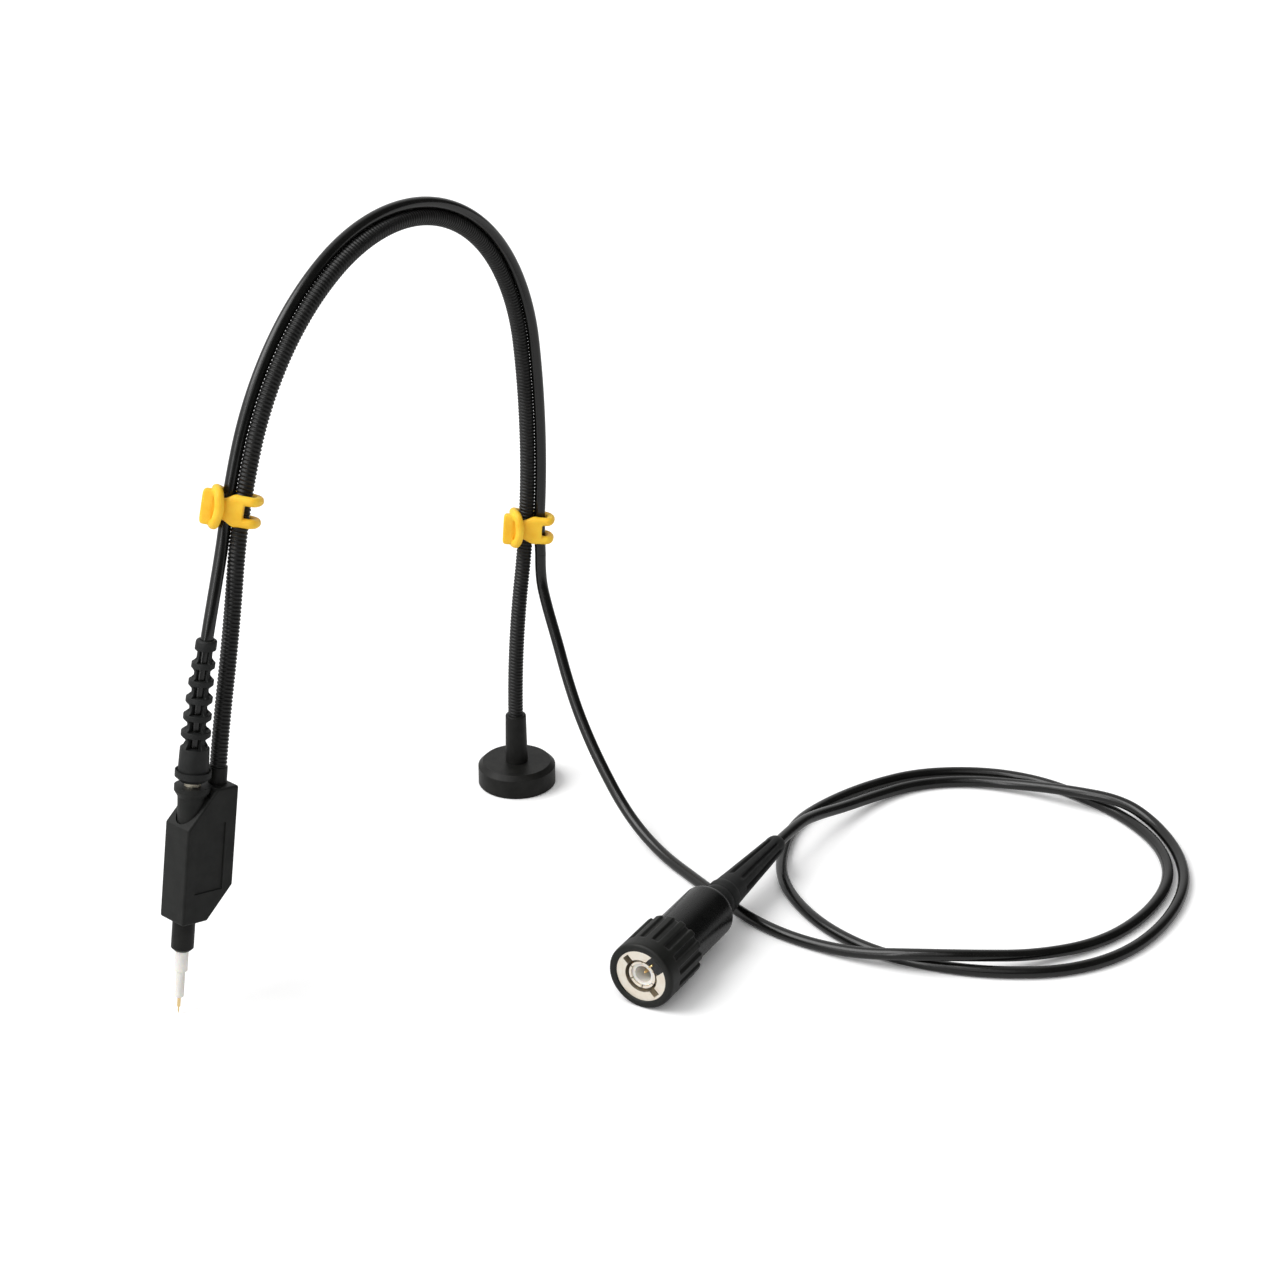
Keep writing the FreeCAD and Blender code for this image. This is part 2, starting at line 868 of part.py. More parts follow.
cover = new_body("housing_cover", headPlace)
raised(
    cover,
    outline(cover, "side", "XZ_Plane", housingOutline, "headThickness / 2 - coverThickness"),
    "coverThickness",
)
rounded(cover, "housingRound", test=off_joint)

neckFerrule = turned("neck_ferrule", [
    ("armDiameter / 2 + fitGap", "0"),
    ("collarDiameter / 2", "0"),
    ("collarDiameter / 2", "collarHeight"),
    ("armDiameter / 2 + fitGap", "collarHeight"),
], headPlace)
rounded(neckFerrule, "collarRound / 2", [
    ("collarDiameter / 2", "collarHeight"),
])

turned("cable_socket", [
    ("contactDiameter / 2 + fitGap", "-cavityTop"),
    ("socketStemDiameter / 2 - socketTaper", "-cavityTop"),
    ("socketStemDiameter / 2", "-socketFlareStart"),
    ("socketFlangeDiameter / 2", "-socketFlangeHalf"),
    ("socketFlangeDiameter / 2", "socketFlangeHalf"),
    ("contactDiameter / 2 + fitGap", "socketFlangeHalf"),
], needlePlace)

turned("cable_contact", [
    ("0", "-contactDepth"),
    ("contactDiameter / 2", "-contactDepth"),
    ("contactDiameter / 2", "gripTop - gripRecess"),
    ("0", "gripTop - gripRecess"),
], needlePlace)

turned("cable_grip", [
    ("contactDiameter / 2 + fitGap", "gripBottom"),
    ("gripNeckDiameter / 2", "gripBottom"),
    ("gripDiameter / 2", "gripChamferTop"),
    ("gripDiameter / 2", "gripTop"),
    ("gripDiameter / 2 - gripRim", "gripTop"),
    ("gripDiameter / 2 - gripRim", "gripTop - gripRecess"),
    ("contactDiameter / 2 + fitGap", "gripTop - gripRecess"),
], needlePlace)

# Boot of the cable: rings with rows of windows between them

windowLow = "windowTop - windowPitch * (windowCount - 1)"


def boot_tube(height):
    share = "(%s - bootShoulderTop) / (bootCollarBottom - bootShoulderTop)" % height
    return "(bootTubeLow + (bootTubeHigh - bootTubeLow) * %s) / 2" % share


bootProfile = [
    ("cableDiameter / 2 + fitGap", "gripTop - gripRecess"),
    ("bootBaseDiameter / 2", "gripTop - gripRecess"),
    ("bootShoulderDiameter / 2", "bootShoulderTop"),
    ("bootTubeLow / 2", "bootShoulderTop"),
]
ringRims = []
ringCount = int(value("windowCount")) - 1
for number in range(ringCount):
    middle = "(%s + windowPitch * (%d + 0.5))" % (windowLow, number)
    ringLow = "(%s - (windowPitch - windowHeight) / 2)" % middle
    ringHigh = "(%s + (windowPitch - windowHeight) / 2)" % middle
    share = "%d / (windowCount - 2)" % number
    ringRadius = "(bootRingLow + (bootRingHigh - bootRingLow) * %s) / 2" % share
    bootProfile += [
        (boot_tube(ringLow), ringLow),
        (ringRadius, ringLow),
        (ringRadius, ringHigh),
        (boot_tube(ringHigh), ringHigh),
    ]
    ringRims += [(ringRadius, ringLow), (ringRadius, ringHigh)]
bootProfile += [
    ("bootTubeHigh / 2", "bootCollarBottom"),
    ("bootCollarDiameter / 2", "bootCollarBottom"),
    ("bootCollarDiameter / 2", "bootTop"),
    ("cableDiameter / 2 + fitGap", "bootTop"),
]
bootPlace = needlePlace.multiply(
    FreeCAD.Placement(V(0, 0, 0), FreeCAD.Rotation(V(0, 0, 1), value("bootTurn")))
)
cableBoot = turned("cable_boot", bootProfile, bootPlace)
rounded(cableBoot, "bootRingRound", ringRims)
rounded(cableBoot, "bootShoulderRound", [
    ("bootShoulderDiameter / 2", "bootShoulderTop"),
    ("bootCollarDiameter / 2", "bootTop"),
])
windowOutline = block(
    "-windowWidth / 2",
    "windowWidth / 2",
    "windowTop - windowHeight / 2",
    "windowTop + windowHeight / 2",
)
for plane in ("XZ_Plane", "YZ_Plane"):
    window = cut(cableBoot, outline(cableBoot, "window", plane, windowOutline), both=True)
    along(cableBoot, window, "Z_Axis", True, "windowPitch * (windowCount - 1)", "windowCount")

# Nose, insulator and sprung needle

turned("nose_collar", [
    ("insulatorDiameter / 2 + fitGap", "-noseBottom"),
    ("noseDiameter / 2 - noseChamfer", "-noseBottom"),
    ("noseDiameter / 2", "-noseBottom + noseChamfer"),
    ("noseDiameter / 2", "-housingLength"),
    ("noseStemDiameter / 2", "-housingLength"),
    ("noseStemDiameter / 2", "-housingLength + housingWall + noseStemRise"),
    ("insulatorDiameter / 2 + fitGap", "-housingLength + housingWall + noseStemRise"),
], needlePlace)

tipInsulator = turned("tip_insulator", [
    ("barrelTipDiameter / 2 + fitGap", "-insulatorBottom"),
    ("insulatorTipDiameter / 2", "-insulatorBottom"),
    ("insulatorTipDiameter / 2", "-insulatorStep"),
    ("insulatorDiameter / 2", "-insulatorStep"),
    ("insulatorDiameter / 2", "-insulatorTop"),
    ("barrelDiameter / 2 + fitGap", "-insulatorTop"),
    ("barrelDiameter / 2 + fitGap", "-barrelStep"),
    ("barrelTipDiameter / 2 + fitGap", "-barrelStep"),
], needlePlace)
rounded(tipInsulator, "insulatorRound", [("insulatorTipDiameter / 2", "-insulatorBottom")])

barrelBore = "barrelDiameter / 2 - barrelWall"
turned("needle_barrel", [
    ("needleDiameter / 2 + fitGap", "-barrelBottom"),
    ("barrelTipDiameter / 2", "-barrelBottom"),
    ("barrelTipDiameter / 2", "-barrelStep"),
    ("barrelDiameter / 2", "-barrelStep"),
    ("barrelDiameter / 2", "-barrelTop"),
    ("0", "-barrelTop"),
    ("0", "-springTop"),
    (barrelBore, "-springTop"),
    (barrelBore, "-barrelStep + needleHeadLength"),
    ("needleDiameter / 2 + fitGap", "-barrelStep + needleHeadLength"),
], needlePlace)

headBottom = "-barrelStep + needleHeadLength + fitGap"
turned("needle_plunger", [
    ("0", "-needleTip"),
    ("needleDiameter / 2", "-needleTip + needlePoint"),
    ("needleDiameter / 2", headBottom),
    (barrelBore + " - fitGap", headBottom),
    (barrelBore + " - fitGap", headBottom + " + needleHeadLength"),
    ("0", headBottom + " + needleHeadLength"),
], needlePlace)

turned("needle_spring", [
    ("needleDiameter / 2", headBottom + " + needleHeadLength + fitGap"),
    (barrelBore + " - fitGap", headBottom + " + needleHeadLength + fitGap"),
    (barrelBore + " - fitGap", "-springTop"),
    ("needleDiameter / 2", "-springTop"),
], needlePlace)

# Board in the head

boardFace = "boardThickness / 2"
box("input_board", "boardLeft", "boardRight", "-" + boardFace, boardFace, "-barrelTop", "-boardTop",
    headPlace)
resistorMiddle = "(boardLeft + boardRight) / 2"
box("input_resistor",
    resistorMiddle + " - resistorLength / 2",
    resistorMiddle + " + resistorLength / 2",
    "-" + boardFace + " - resistorHeight",
    "-" + boardFace,
    "-resistorDepth - resistorWidth / 2",
    "-resistorDepth + resistorWidth / 2",
    headPlace)
box("input_capacitor",
    resistorMiddle + " - capacitorSide / 2",
    resistorMiddle + " + capacitorSide / 2",
    "-" + boardFace + " - capacitorHeight",
    "-" + boardFace,
    "-capacitorDepth - capacitorSide / 2",
    "-capacitorDepth + capacitorSide / 2",
    headPlace)

# Plug, in its own frame: Z is the distance behind the front face, X is up

plugPlace = FreeCAD.Placement(
    V(value("plugX"), value("plugY"), value("shellDiameter / 2")),
    FreeCAD.Rotation(V(0, 0, 1), value("plugHeading"))
    * FreeCAD.Rotation(V(0, 0, 1), V(0, 1, 0), V(-1, 0, 0), "XYZ"),
)
ringPlace = plugPlace.multiply(
    FreeCAD.Placement(V(0, 0, 0), FreeCAD.Rotation(V(0, 0, 1), value("ringTurn")))
)

shell = turned("coupling_shell", [
    ("ringDiameter / 2", "0"),
    ("shellDiameter / 2", "0"),
    ("shellDiameter / 2", "shellLength"),
    ("coreNeckDiameter / 2 + turnGap", "shellLength"),
    ("coreNeckDiameter / 2 + turnGap", "ringRear"),
    ("ringDiameter / 2", "ringRear"),
], plugPlace)
rounded(shell, "shellRound", [("shellDiameter / 2", "0"), ("shellDiameter / 2", "shellLength")])
groove = cut(
    shell,
    circle(
        shell,
        "gripGroove",
        "XY_Plane",
        "shellDiameter / 2 + gripGrooveRadius - gripGrooveDepth",
        "0",
        "2 * gripGrooveRadius",
        "gripGrooveStart",
    ),
    "shellLength - gripGrooveStart",
    ahead=True,
)
around(shell, groove, "gripGrooveCount")

ring = turned("bayonet_ring", [
    ("ringBore / 2", "ringFront"),
    ("ringDiameter / 2", "ringFront"),
    ("ringDiameter / 2", "ringRear"),
    ("ringBore / 2", "ringRear"),
    ("ringBore / 2", "clipGrooveRear"),
    ("clipDiameter / 2 + turnGap", "clipGrooveRear"),
    ("clipDiameter / 2 + turnGap", "clipGrooveFront"),
    ("ringBore / 2", "clipGrooveFront"),
], ringPlace)
notch = cut(
    ring,
    outline(
        ring,
        "notch",
        "XY_Plane",
        block("ringBore / 2 - 1", "notchRadius", "-notchWidth / 2", "notchWidth / 2"),
        "ringFront",
    ),
    "slotEnd - ringFront",
    ahead=True,
)
around(ring, notch, "2")
slot = ring.newObject("PartDesign::Groove", "slot")
slot.Profile = outline(
    ring,
    "slotSection",
    "XZ_Plane",
    block("ringBore / 2 - 1", "notchRadius", "slotStart", "slotEnd"),
)
slot.ReferenceAxis = (slot.Profile[0], ["V_Axis"])
bind(slot, "Angle", "slotSweep")
beforeSlot = ring.Shape.Volume
ring.Tip = slot
doc.recompute()
around(ring, slot, "2")
if ring.Shape.Volume >= beforeSlot:
    raise ValueError("bayonet_ring: the slots take nothing away")
cut(
    ring,
    outline(
        ring,
        "readoutSeat",
        "XY_Plane",
        block("-readoutWidth / 2", "readoutWidth / 2", "readoutInner - 1", "readoutOuter"),
        "ringFront",
    ),
    "readoutDepth",
    ahead=True,
)

box("readout_block",
    "-readoutWidth / 2 + fitGap",
    "readoutWidth / 2 - fitGap",
    "readoutInner + turnGap",
    "readoutOuter - fitGap",
    "ringFront",
    "ringFront + readoutDepth",
    ringPlace)
wireRadius = value("readoutWire / 2")
wireX = value("readoutWidth / 6")
wireOut = value("readoutOuter") - 4 * wireRadius
wirePath = [
    V(wireX, wireOut, value("ringFront")),
    V(wireX, wireOut, value("ringFront") - 4 * wireRadius),
    V(wireX, value("readoutReach"), value("ringFront") - 2 * wireRadius),
    V(wireX, value("readoutReach") - wireRadius, value("ringFront") + 3 * wireRadius),
]
formed("readout_pin", rod(run_wire(wirePath, "readout_pin"), wireRadius, "readout_pin"), ringPlace)

turned("plug_core", [
    ("coreBore / 2", "coreFront"),
    ("ringBore / 2 - turnGap", "coreFront"),
    ("ringBore / 2 - turnGap", "clipGrooveFront"),
    ("clipGrooveDiameter / 2", "clipGrooveFront"),
    ("clipGrooveDiameter / 2", "clipGrooveRear"),
    ("ringBore / 2 - turnGap", "clipGrooveRear"),
    ("ringBore / 2 - turnGap", "coreNeckFront"),
    ("coreNeckDiameter / 2", "coreNeckFront"),
    ("coreNeckDiameter / 2", "coreRear"),
    ("coreBore / 2", "coreRear"),
], plugPlace)

turned("retaining_ring", [
    ("clipGrooveDiameter / 2 + fitGap", "clipGrooveFront + turnGap"),
    ("clipDiameter / 2", "clipGrooveFront + turnGap"),
    ("clipDiameter / 2", "clipGrooveRear - turnGap"),
    ("clipGrooveDiameter / 2 + fitGap", "clipGrooveRear - turnGap"),
], plugPlace)

turned("wave_washer", [
    ("outerContactDiameter / 2 + turnGap", "coreFront - washerThickness"),
    ("ringBore / 2 - 1.5 * turnGap", "coreFront - washerThickness"),
    ("ringBore / 2 - 1.5 * turnGap", "coreFront"),
    ("outerContactDiameter / 2 + turnGap", "coreFront"),
], plugPlace)

outerContact = turned("plug_outer_contact", [
    ("outerContactBore / 2", "outerContactFront"),
    ("outerContactDiameter / 2", "outerContactFront"),
    ("outerContactDiameter / 2", "coreFront"),
    ("coreBore / 2 - fitGap", "coreFront"),
    ("coreBore / 2 - fitGap", "coreRear"),
    ("outerContactBore / 2", "coreRear"),
], plugPlace)
contactSlot = cut(
    outerContact,
    outline(
        outerContact,
        "slot",
        "XY_Plane",
        block("outerContactBore / 2 - 1", "outerContactDiameter / 2 + 1",
              "-contactSlotWidth / 2", "contactSlotWidth / 2"),
        "outerContactFront",
    ),
    "contactSlotEnd - outerContactFront",
    ahead=True,
)
around(outerContact, contactSlot, "contactSlotCount")

turned("plug_insulator", [
    ("plugInsulatorBore / 2", "plugInsulatorFront"),
    ("outerContactBore / 2 - fitGap", "plugInsulatorFront"),
    ("outerContactBore / 2 - fitGap", "plugInsulatorRear"),
    ("pinDiameter / 2 + fitGap", "plugInsulatorRear"),
    ("pinDiameter / 2 + fitGap", "plugInsulatorWeb"),
    ("plugInsulatorBore / 2", "plugInsulatorWeb"),
], plugPlace)

turned("plug_pin", [
    ("0", "pinFront"),
    ("pinDiameter / 4", "pinFront"),
    ("pinDiameter / 2", "pinFront + pinPoint"),
    ("pinDiameter / 2", "pinRear"),
    ("0", "pinRear"),
], plugPlace)

plugBody = turned("plug_body", [
    ("coreNeckDiameter / 2 + fitGap", "plugBodyFront"),
    ("plugBodyDiameter / 2", "plugBodyFront"),
    ("plugBodyDiameter / 2", "plugBodyRear"),
    ("plugBootStem / 2 + fitGap", "plugBodyRear"),
    ("plugBootStem / 2 + fitGap", "plugBodyRear - 2 * plugBodyWall"),
    ("plugBodyDiameter / 2 - plugBodyWall", "plugBodyRear - 2 * plugBodyWall"),
    ("plugBodyDiameter / 2 - plugBodyWall", "plugBodyFront + plugBodyWall"),
    ("coreNeckDiameter / 2 + fitGap", "plugBodyFront + plugBodyWall"),
], plugPlace)
rounded(plugBody, "plugBodyRound", [("plugBodyDiameter / 2", "plugBodyRear")])

box("plug_board",
    "-boardThickness / 2", "boardThickness / 2",
    "-plugBoardWidth / 2", "plugBoardWidth / 2",
    "pinRear", "plugBoardRear",
    plugPlace)
box("plug_trimmer",
    "boardThickness / 2", "boardThickness / 2 + trimmerHeight",
    "-trimmerSide / 2", "trimmerSide / 2",
    "(pinRear + plugBoardRear - trimmerSide) / 2", "(pinRear + plugBoardRear + trimmerSide) / 2",
    plugPlace)

turned("plug_clamp", [
    ("0", "plugBoardRear"),
    ("clampDiameter / 2", "plugBoardRear"),
    ("clampDiameter / 2", "clampRear"),
    ("0", "clampRear"),
], plugPlace)

plugBoot = turned("plug_boot", [
    ("0", "clampRear"),
    ("plugBootStem / 2", "clampRear"),
    ("plugBootStem / 2", "plugBodyRear"),
    ("plugBootDiameter / 2", "plugBodyRear"),
    ("plugBootDiameter / 2", "plugBootCollar"),
    ("plugBootTipDiameter / 2", "plugBootEnd"),
    ("0", "plugBootEnd"),
], plugPlace)
rounded(plugBoot, "plugBootRound", [("plugBootTipDiameter / 2", "plugBootEnd")])


def plug_boot_radius(height):
    share = "(%s - plugBootCollar) / (plugBootEnd - plugBootCollar)" % height
    return "(plugBootDiameter + (plugBootTipDiameter - plugBootDiameter) * %s) / 2" % share


bootGroove = cut(
    plugBoot,
    outline(plugBoot, "groove", "XZ_Plane", [
        (plug_boot_radius("bootGrooveStart") + " - bootGrooveDepth", "bootGrooveStart"),
        ("plugBootDiameter", "bootGrooveStart"),
        ("plugBootDiameter", "bootGrooveEnd"),
        (plug_boot_radius("bootGrooveEnd") + " - bootGrooveDepth", "bootGrooveEnd"),
    ]),
    "bootGrooveWidth",
    both=True,
)
around(plugBoot, bootGroove, "bootGrooveCount")

# Free cable, from the lower tie to the plug: it hangs from the arm to the table and lies there in
# two loose turns. The turns cross in three low humps.

exitWay = (exitPoint - cable_at(cableLowStation, sideLift)).normalize()
plugEnd = plugPlace.multVec(V(0, 0, value("plugBootEnd")))
plugLead = plugPlace.multVec(V(0, 0, value("plugBootEnd + cableLead")))
cableRoute = [
    (-7.0, 7.4, 60.8),
    (-5.4, 12.6, 49.3),
    (-3.3, 17.5, 38.9),
    (-0.3, 24.2, 28.5),
    (3.9, 34.2, 17.5),
    (9.6, 47.5, 6.9),
    (16.6, 63.5, 1.7),
    (25.3, 83.0, 1.7),
    (33.2, 101.0, 1.7),
    (37.0, 114.5, 1.7),
    (37.4, 128.5, 1.7),
    (36.4, 142.5, 3.0),
    (33.4, 156.8, 5.9),
    (24.6, 171.8, 5.9),
    (10.8, 184.6, 3.0),
    (-7.0, 196.4, 1.7),
    (-28.0, 201.2, 1.7),
    (-50.0, 199.4, 1.7),
    (-67.0, 189.6, 1.7),
    (-78.5, 173.5, 1.7),
    (-84.3, 155.0, 1.7),
    (-86.0, 138.0, 1.7),
    (-81.5, 121.5, 1.7),
    (-70.0, 105.5, 1.7),
    (-54.5, 96.3, 1.7),
    (-37.5, 90.6, 1.7),
    (-21.0, 88.6, 1.7),
    (-5.0, 93.6, 1.7),
    (9.5, 101.3, 1.7),
    (20.5, 113.2, 1.7),
    (28.2, 127.8, 1.7),
    (31.6, 144.5, 1.7),
    (29.6, 161.0, 1.7),
    (23.2, 178.2, 1.7),
    (12.0, 194.4, 1.7),
    (-5.0, 204.8, 1.7),
    (-27.0, 207.8, 1.7),
    (-49.5, 204.5, 1.7),
    (-66.5, 195.4, 1.7),
    (-78.0, 182.4, 3.0),
    (-81.0, 170.0, 5.9),
    (-78.0, 153.5, 5.9),
    (-78.6, 138.0, 3.0),
    (-74.0, 120.5, 1.7),
    (-62.5, 107.7, 1.7),
    (-47.0, 101.6, 2.6),
    (-32.5, 98.9, 4.8),
    (-20.0, 97.0, 7.6),
]
freePoints = [exitPoint, exitPoint + exitWay * 7]
freePoints += [V(*point) for point in cableRoute]
freePoints += [plugLead, plugEnd]
formed("cable_free", rod(run_wire(freePoints, "cable_free"), cableRadius, "cable_free"))

# Checks and files

doc.recompute()
for thing in doc.Objects:
    if "Invalid" in thing.State or "Error" in thing.State:
        raise ValueError("%s is not built: %s" % (thing.Label, thing.State))
for piece in pieces:
    if piece.Shape.isNull() or not piece.Shape.isValid():
        raise ValueError(piece.Label + " has no valid shape")

os.makedirs("parts", exist_ok=True)
for piece in pieces:
    piece.Shape.exportStep("parts/%s.step" % piece.Label)

for name, place in zip(("lean", "swing", "bend"), jointPlaces):
    print(name, "at", arm_at(place)[0], "about", cable_side(place))
print("exit", exitPoint, "then", freePoints[1])
print("needle tip", needlePlace.multVec(V(0, 0, -value("needleTip"))), "axis", headPlace.Rotation.multVec(V(0, 0, 1)))
print("plug front", plugPlace.Base, "axis", plugPlace.Rotation.multVec(V(0, 0, -1)), "end", plugEnd)
print(len(pieces), "pieces")
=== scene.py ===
import bpy
import json
import math
import numpy as np
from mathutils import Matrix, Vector

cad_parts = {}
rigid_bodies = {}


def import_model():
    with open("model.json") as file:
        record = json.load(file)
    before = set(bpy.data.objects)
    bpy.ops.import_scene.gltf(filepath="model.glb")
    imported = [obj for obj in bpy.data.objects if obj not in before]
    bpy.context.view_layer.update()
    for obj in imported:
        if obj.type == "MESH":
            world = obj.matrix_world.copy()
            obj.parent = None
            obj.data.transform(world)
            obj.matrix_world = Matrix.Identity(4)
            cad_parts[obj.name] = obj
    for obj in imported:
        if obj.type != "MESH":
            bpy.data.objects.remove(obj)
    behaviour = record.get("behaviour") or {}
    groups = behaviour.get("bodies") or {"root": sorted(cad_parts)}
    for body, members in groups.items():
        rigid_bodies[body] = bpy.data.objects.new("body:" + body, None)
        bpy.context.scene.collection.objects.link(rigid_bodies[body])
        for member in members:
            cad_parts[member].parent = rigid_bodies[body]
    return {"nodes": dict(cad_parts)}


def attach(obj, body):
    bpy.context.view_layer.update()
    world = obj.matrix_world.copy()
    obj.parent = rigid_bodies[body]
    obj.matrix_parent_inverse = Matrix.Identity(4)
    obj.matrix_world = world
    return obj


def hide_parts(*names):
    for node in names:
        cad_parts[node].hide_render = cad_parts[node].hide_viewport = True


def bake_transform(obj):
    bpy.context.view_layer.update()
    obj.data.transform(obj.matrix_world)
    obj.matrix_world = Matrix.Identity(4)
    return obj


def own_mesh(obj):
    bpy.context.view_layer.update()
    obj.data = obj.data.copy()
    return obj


# A hands-free probe for circuit boards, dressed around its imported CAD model.
# Lengths in the dictionaries are in mm unless a note says otherwise, and mm turns them into metres.

mm = 0.001

for thing in list(bpy.data.objects):
    bpy.data.objects.remove(thing)
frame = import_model()
bpy.context.view_layer.update()
nodes = frame["nodes"]
print("frame loaded,", len(nodes), "nodes")

# Camera

cameraSet = {
    "place": (0.6357, 0.4519, 0.4194),  # metres
    "towards": (-0.7613, -0.4861, -0.4291),
    "lens": 78.75,
}
cameraData = bpy.data.cameras.new("camera")
cameraData.lens = cameraSet["lens"]
cameraData.sensor_width = 36
cameraData.clip_start = 0.01
cameraData.clip_end = 50
camera = bpy.data.objects.new("camera", cameraData)
camera.location = cameraSet["place"]
camera.rotation_euler = Vector(cameraSet["towards"]).to_track_quat("-Z", "Y").to_euler()
bpy.context.collection.objects.link(camera)
bpy.context.scene.camera = camera

# Materials


def newMaterial(name):
    material = bpy.data.materials.new(name)
    material.use_nodes = True
    tree = material.node_tree
    return material, tree, tree.nodes["Principled BSDF"]


def addNode(tree, kind, **values):
    node = tree.nodes.new(kind)
    for key, value in values.items():
        if hasattr(node, key):
            setattr(node, key, value)
        else:
            node.inputs[key].default_value = value
    return node


def noise(tree, scale, detail=3.0):
    # noise over the piece's own coordinates, scale in cells per metre
    place = addNode(tree, "ShaderNodeTexCoord")
    cells = addNode(tree, "ShaderNodeTexNoise", Scale=scale, Detail=detail, Roughness=0.55)
    tree.links.new(place.outputs["Object"], cells.inputs["Vector"])
    return cells.outputs["Fac"]


def ramp(tree, source, low, high, dark, light):
    # numbers from dark to light as the source goes from low to high
    node = addNode(tree, "ShaderNodeMapRange")
    for socket, number in zip(("From Min", "From Max", "To Min", "To Max"), (low, high, dark, light)):
        node.inputs[socket].default_value = number
    tree.links.new(source, node.inputs["Value"])
    return node.outputs["Result"]


def mixed(tree, share, one, other):
    node = addNode(tree, "ShaderNodeMix", data_type="RGBA")
    colours = [socket for socket in node.inputs if socket.type == "RGBA"]
    colours[0].default_value = (*one, 1)
    colours[1].default_value = (*other, 1)
    tree.links.new(share, node.inputs["Factor"])
    return [socket for socket in node.outputs if socket.type == "RGBA"][0]


def bumped(tree, shader, height, depth):
    node = addNode(tree, "ShaderNodeBump", Strength=1.0, Distance=depth)
    tree.links.new(height, node.inputs["Height"])
    tree.links.new(node.outputs["Normal"], shader.inputs["Normal"])


looks = {
    # colour, its other shade, roughness from and to, grain and patches in cells per metre, and the
    # depth of the grain in metres
    "footMetal": dict(colour=(0.0075, 0.0075, 0.0068), shade=(0.013, 0.013, 0.0118), rough=(0.36, 0.5),
                      grain=5200, depth=1.0e-5, patch=260, specular=0.15),
    "socketBlack": dict(colour=(0.008, 0.008, 0.0075), shade=(0.0125, 0.0125, 0.0115), rough=(0.38, 0.5),
                        grain=5200, depth=8e-6, patch=320, specular=0.15),
    "armBlack": dict(colour=(0.006, 0.006, 0.0058), shade=(0.010, 0.010, 0.0096), rough=(0.30, 0.46),
                     grain=4200, depth=1.2e-5, patch=420, specular=0.30),
    "cableJacket": dict(colour=(0.0036, 0.0036, 0.0033), shade=(0.0062, 0.0062, 0.0057),
                        rough=(0.19, 0.24), grain=900, depth=1.5e-6, patch=160, specular=0.44),
    "housingPlastic": dict(colour=(0.0090, 0.0094, 0.0088), shade=(0.0135, 0.0140, 0.0130),
                           rough=(0.44, 0.58), grain=6400, depth=2.2e-5, patch=240, specular=0.18),
    "bootRubber": dict(colour=(0.0095, 0.0100, 0.0098), shade=(0.0145, 0.0152, 0.0150),
                       rough=(0.48, 0.64), grain=5200, depth=1.6e-5, patch=300, specular=0.22),
    "couplingBlack": dict(colour=(0.0072, 0.0076, 0.0066), shade=(0.0115, 0.0120, 0.0105),
                          rough=(0.38, 0.5), grain=5600, depth=1.2e-5, patch=260, specular=0.24),
    "plugBodyBlack": dict(colour=(0.0024, 0.0026, 0.0024), shade=(0.0040, 0.0042, 0.0039),
                          rough=(0.25, 0.29), grain=700, depth=1e-6, patch=220, specular=0.26),
    "darkPart": dict(colour=(0.0070, 0.0070, 0.0075), shade=(0.0150, 0.0150, 0.0160), rough=(0.34, 0.5),
                     grain=7200, depth=8e-6, patch=900, specular=0.4),
    "tieSilicone": dict(colour=(0.88, 0.50, 0.022), shade=(0.93, 0.59, 0.042), rough=(0.44, 0.56),
                        grain=3400, depth=1.4e-5, patch=200, specular=0.3, glow=0.3, glowDepth=1.1e-3),
    "insulatorWhite": dict(colour=(0.72, 0.70, 0.66), shade=(0.79, 0.77, 0.73), rough=(0.34, 0.44),
                           grain=3600, depth=6e-6, patch=400, specular=0.4, glow=0.35, glowDepth=0.8e-3),
    "contactGold": dict(colour=(0.93, 0.66, 0.29), shade=(0.98, 0.75, 0.38), rough=(0.16, 0.27),
                        grain=6000, depth=4e-6, patch=700, metal=1.0),
    "paleGold": dict(colour=(0.97, 0.88, 0.68), shade=(0.99, 0.93, 0.78), rough=(0.24, 0.36),
                     grain=6000, depth=3e-6, patch=700, metal=0.8),
    "nickel": dict(colour=(0.96, 0.87, 0.74), shade=(0.99, 0.93, 0.82), rough=(0.32, 0.44),
                   grain=9000, depth=5e-6, patch=500, metal=1.0),
    "magnetNickel": dict(colour=(0.62, 0.61, 0.59), shade=(0.72, 0.71, 0.69), rough=(0.18, 0.3),
                         grain=5200, depth=5e-6, patch=300, metal=1.0),
    "springSteel": dict(colour=(0.50, 0.49, 0.47), shade=(0.62, 0.60, 0.57), rough=(0.22, 0.34),
                        grain=7000, depth=4e-6, patch=700, metal=1.0),
}


def makeLook(name, look):
    # two shades in soft patches, a roughness that follows them, and a fine grain as bump
    material, tree, shader = newMaterial(name)
    patches = noise(tree, look["patch"], 4.0)
    colour = mixed(tree, ramp(tree, patches, 0.35, 0.65, 0, 1), look["colour"], look["shade"])
    tree.links.new(colour, shader.inputs["Base Color"])
    grain = noise(tree, look["grain"], 2.0)
    tree.links.new(ramp(tree, grain, 0.3, 0.7, *look["rough"]), shader.inputs["Roughness"])
    bumped(tree, shader, grain, look["depth"])
    shader.inputs["Metallic"].default_value = look.get("metal", 0.0)
    shader.inputs["Specular IOR Level"].default_value = look.get("specular", 0.5)
    if "glow" in look:
        shader.inputs["Subsurface Weight"].default_value = look["glow"]
        shader.inputs["Subsurface Scale"].default_value = look["glowDepth"]
        shader.inputs["Subsurface Radius"].default_value = (1.0, 0.6, 0.3)
    return material


materials = {name: makeLook(name, look) for name, look in looks.items()}

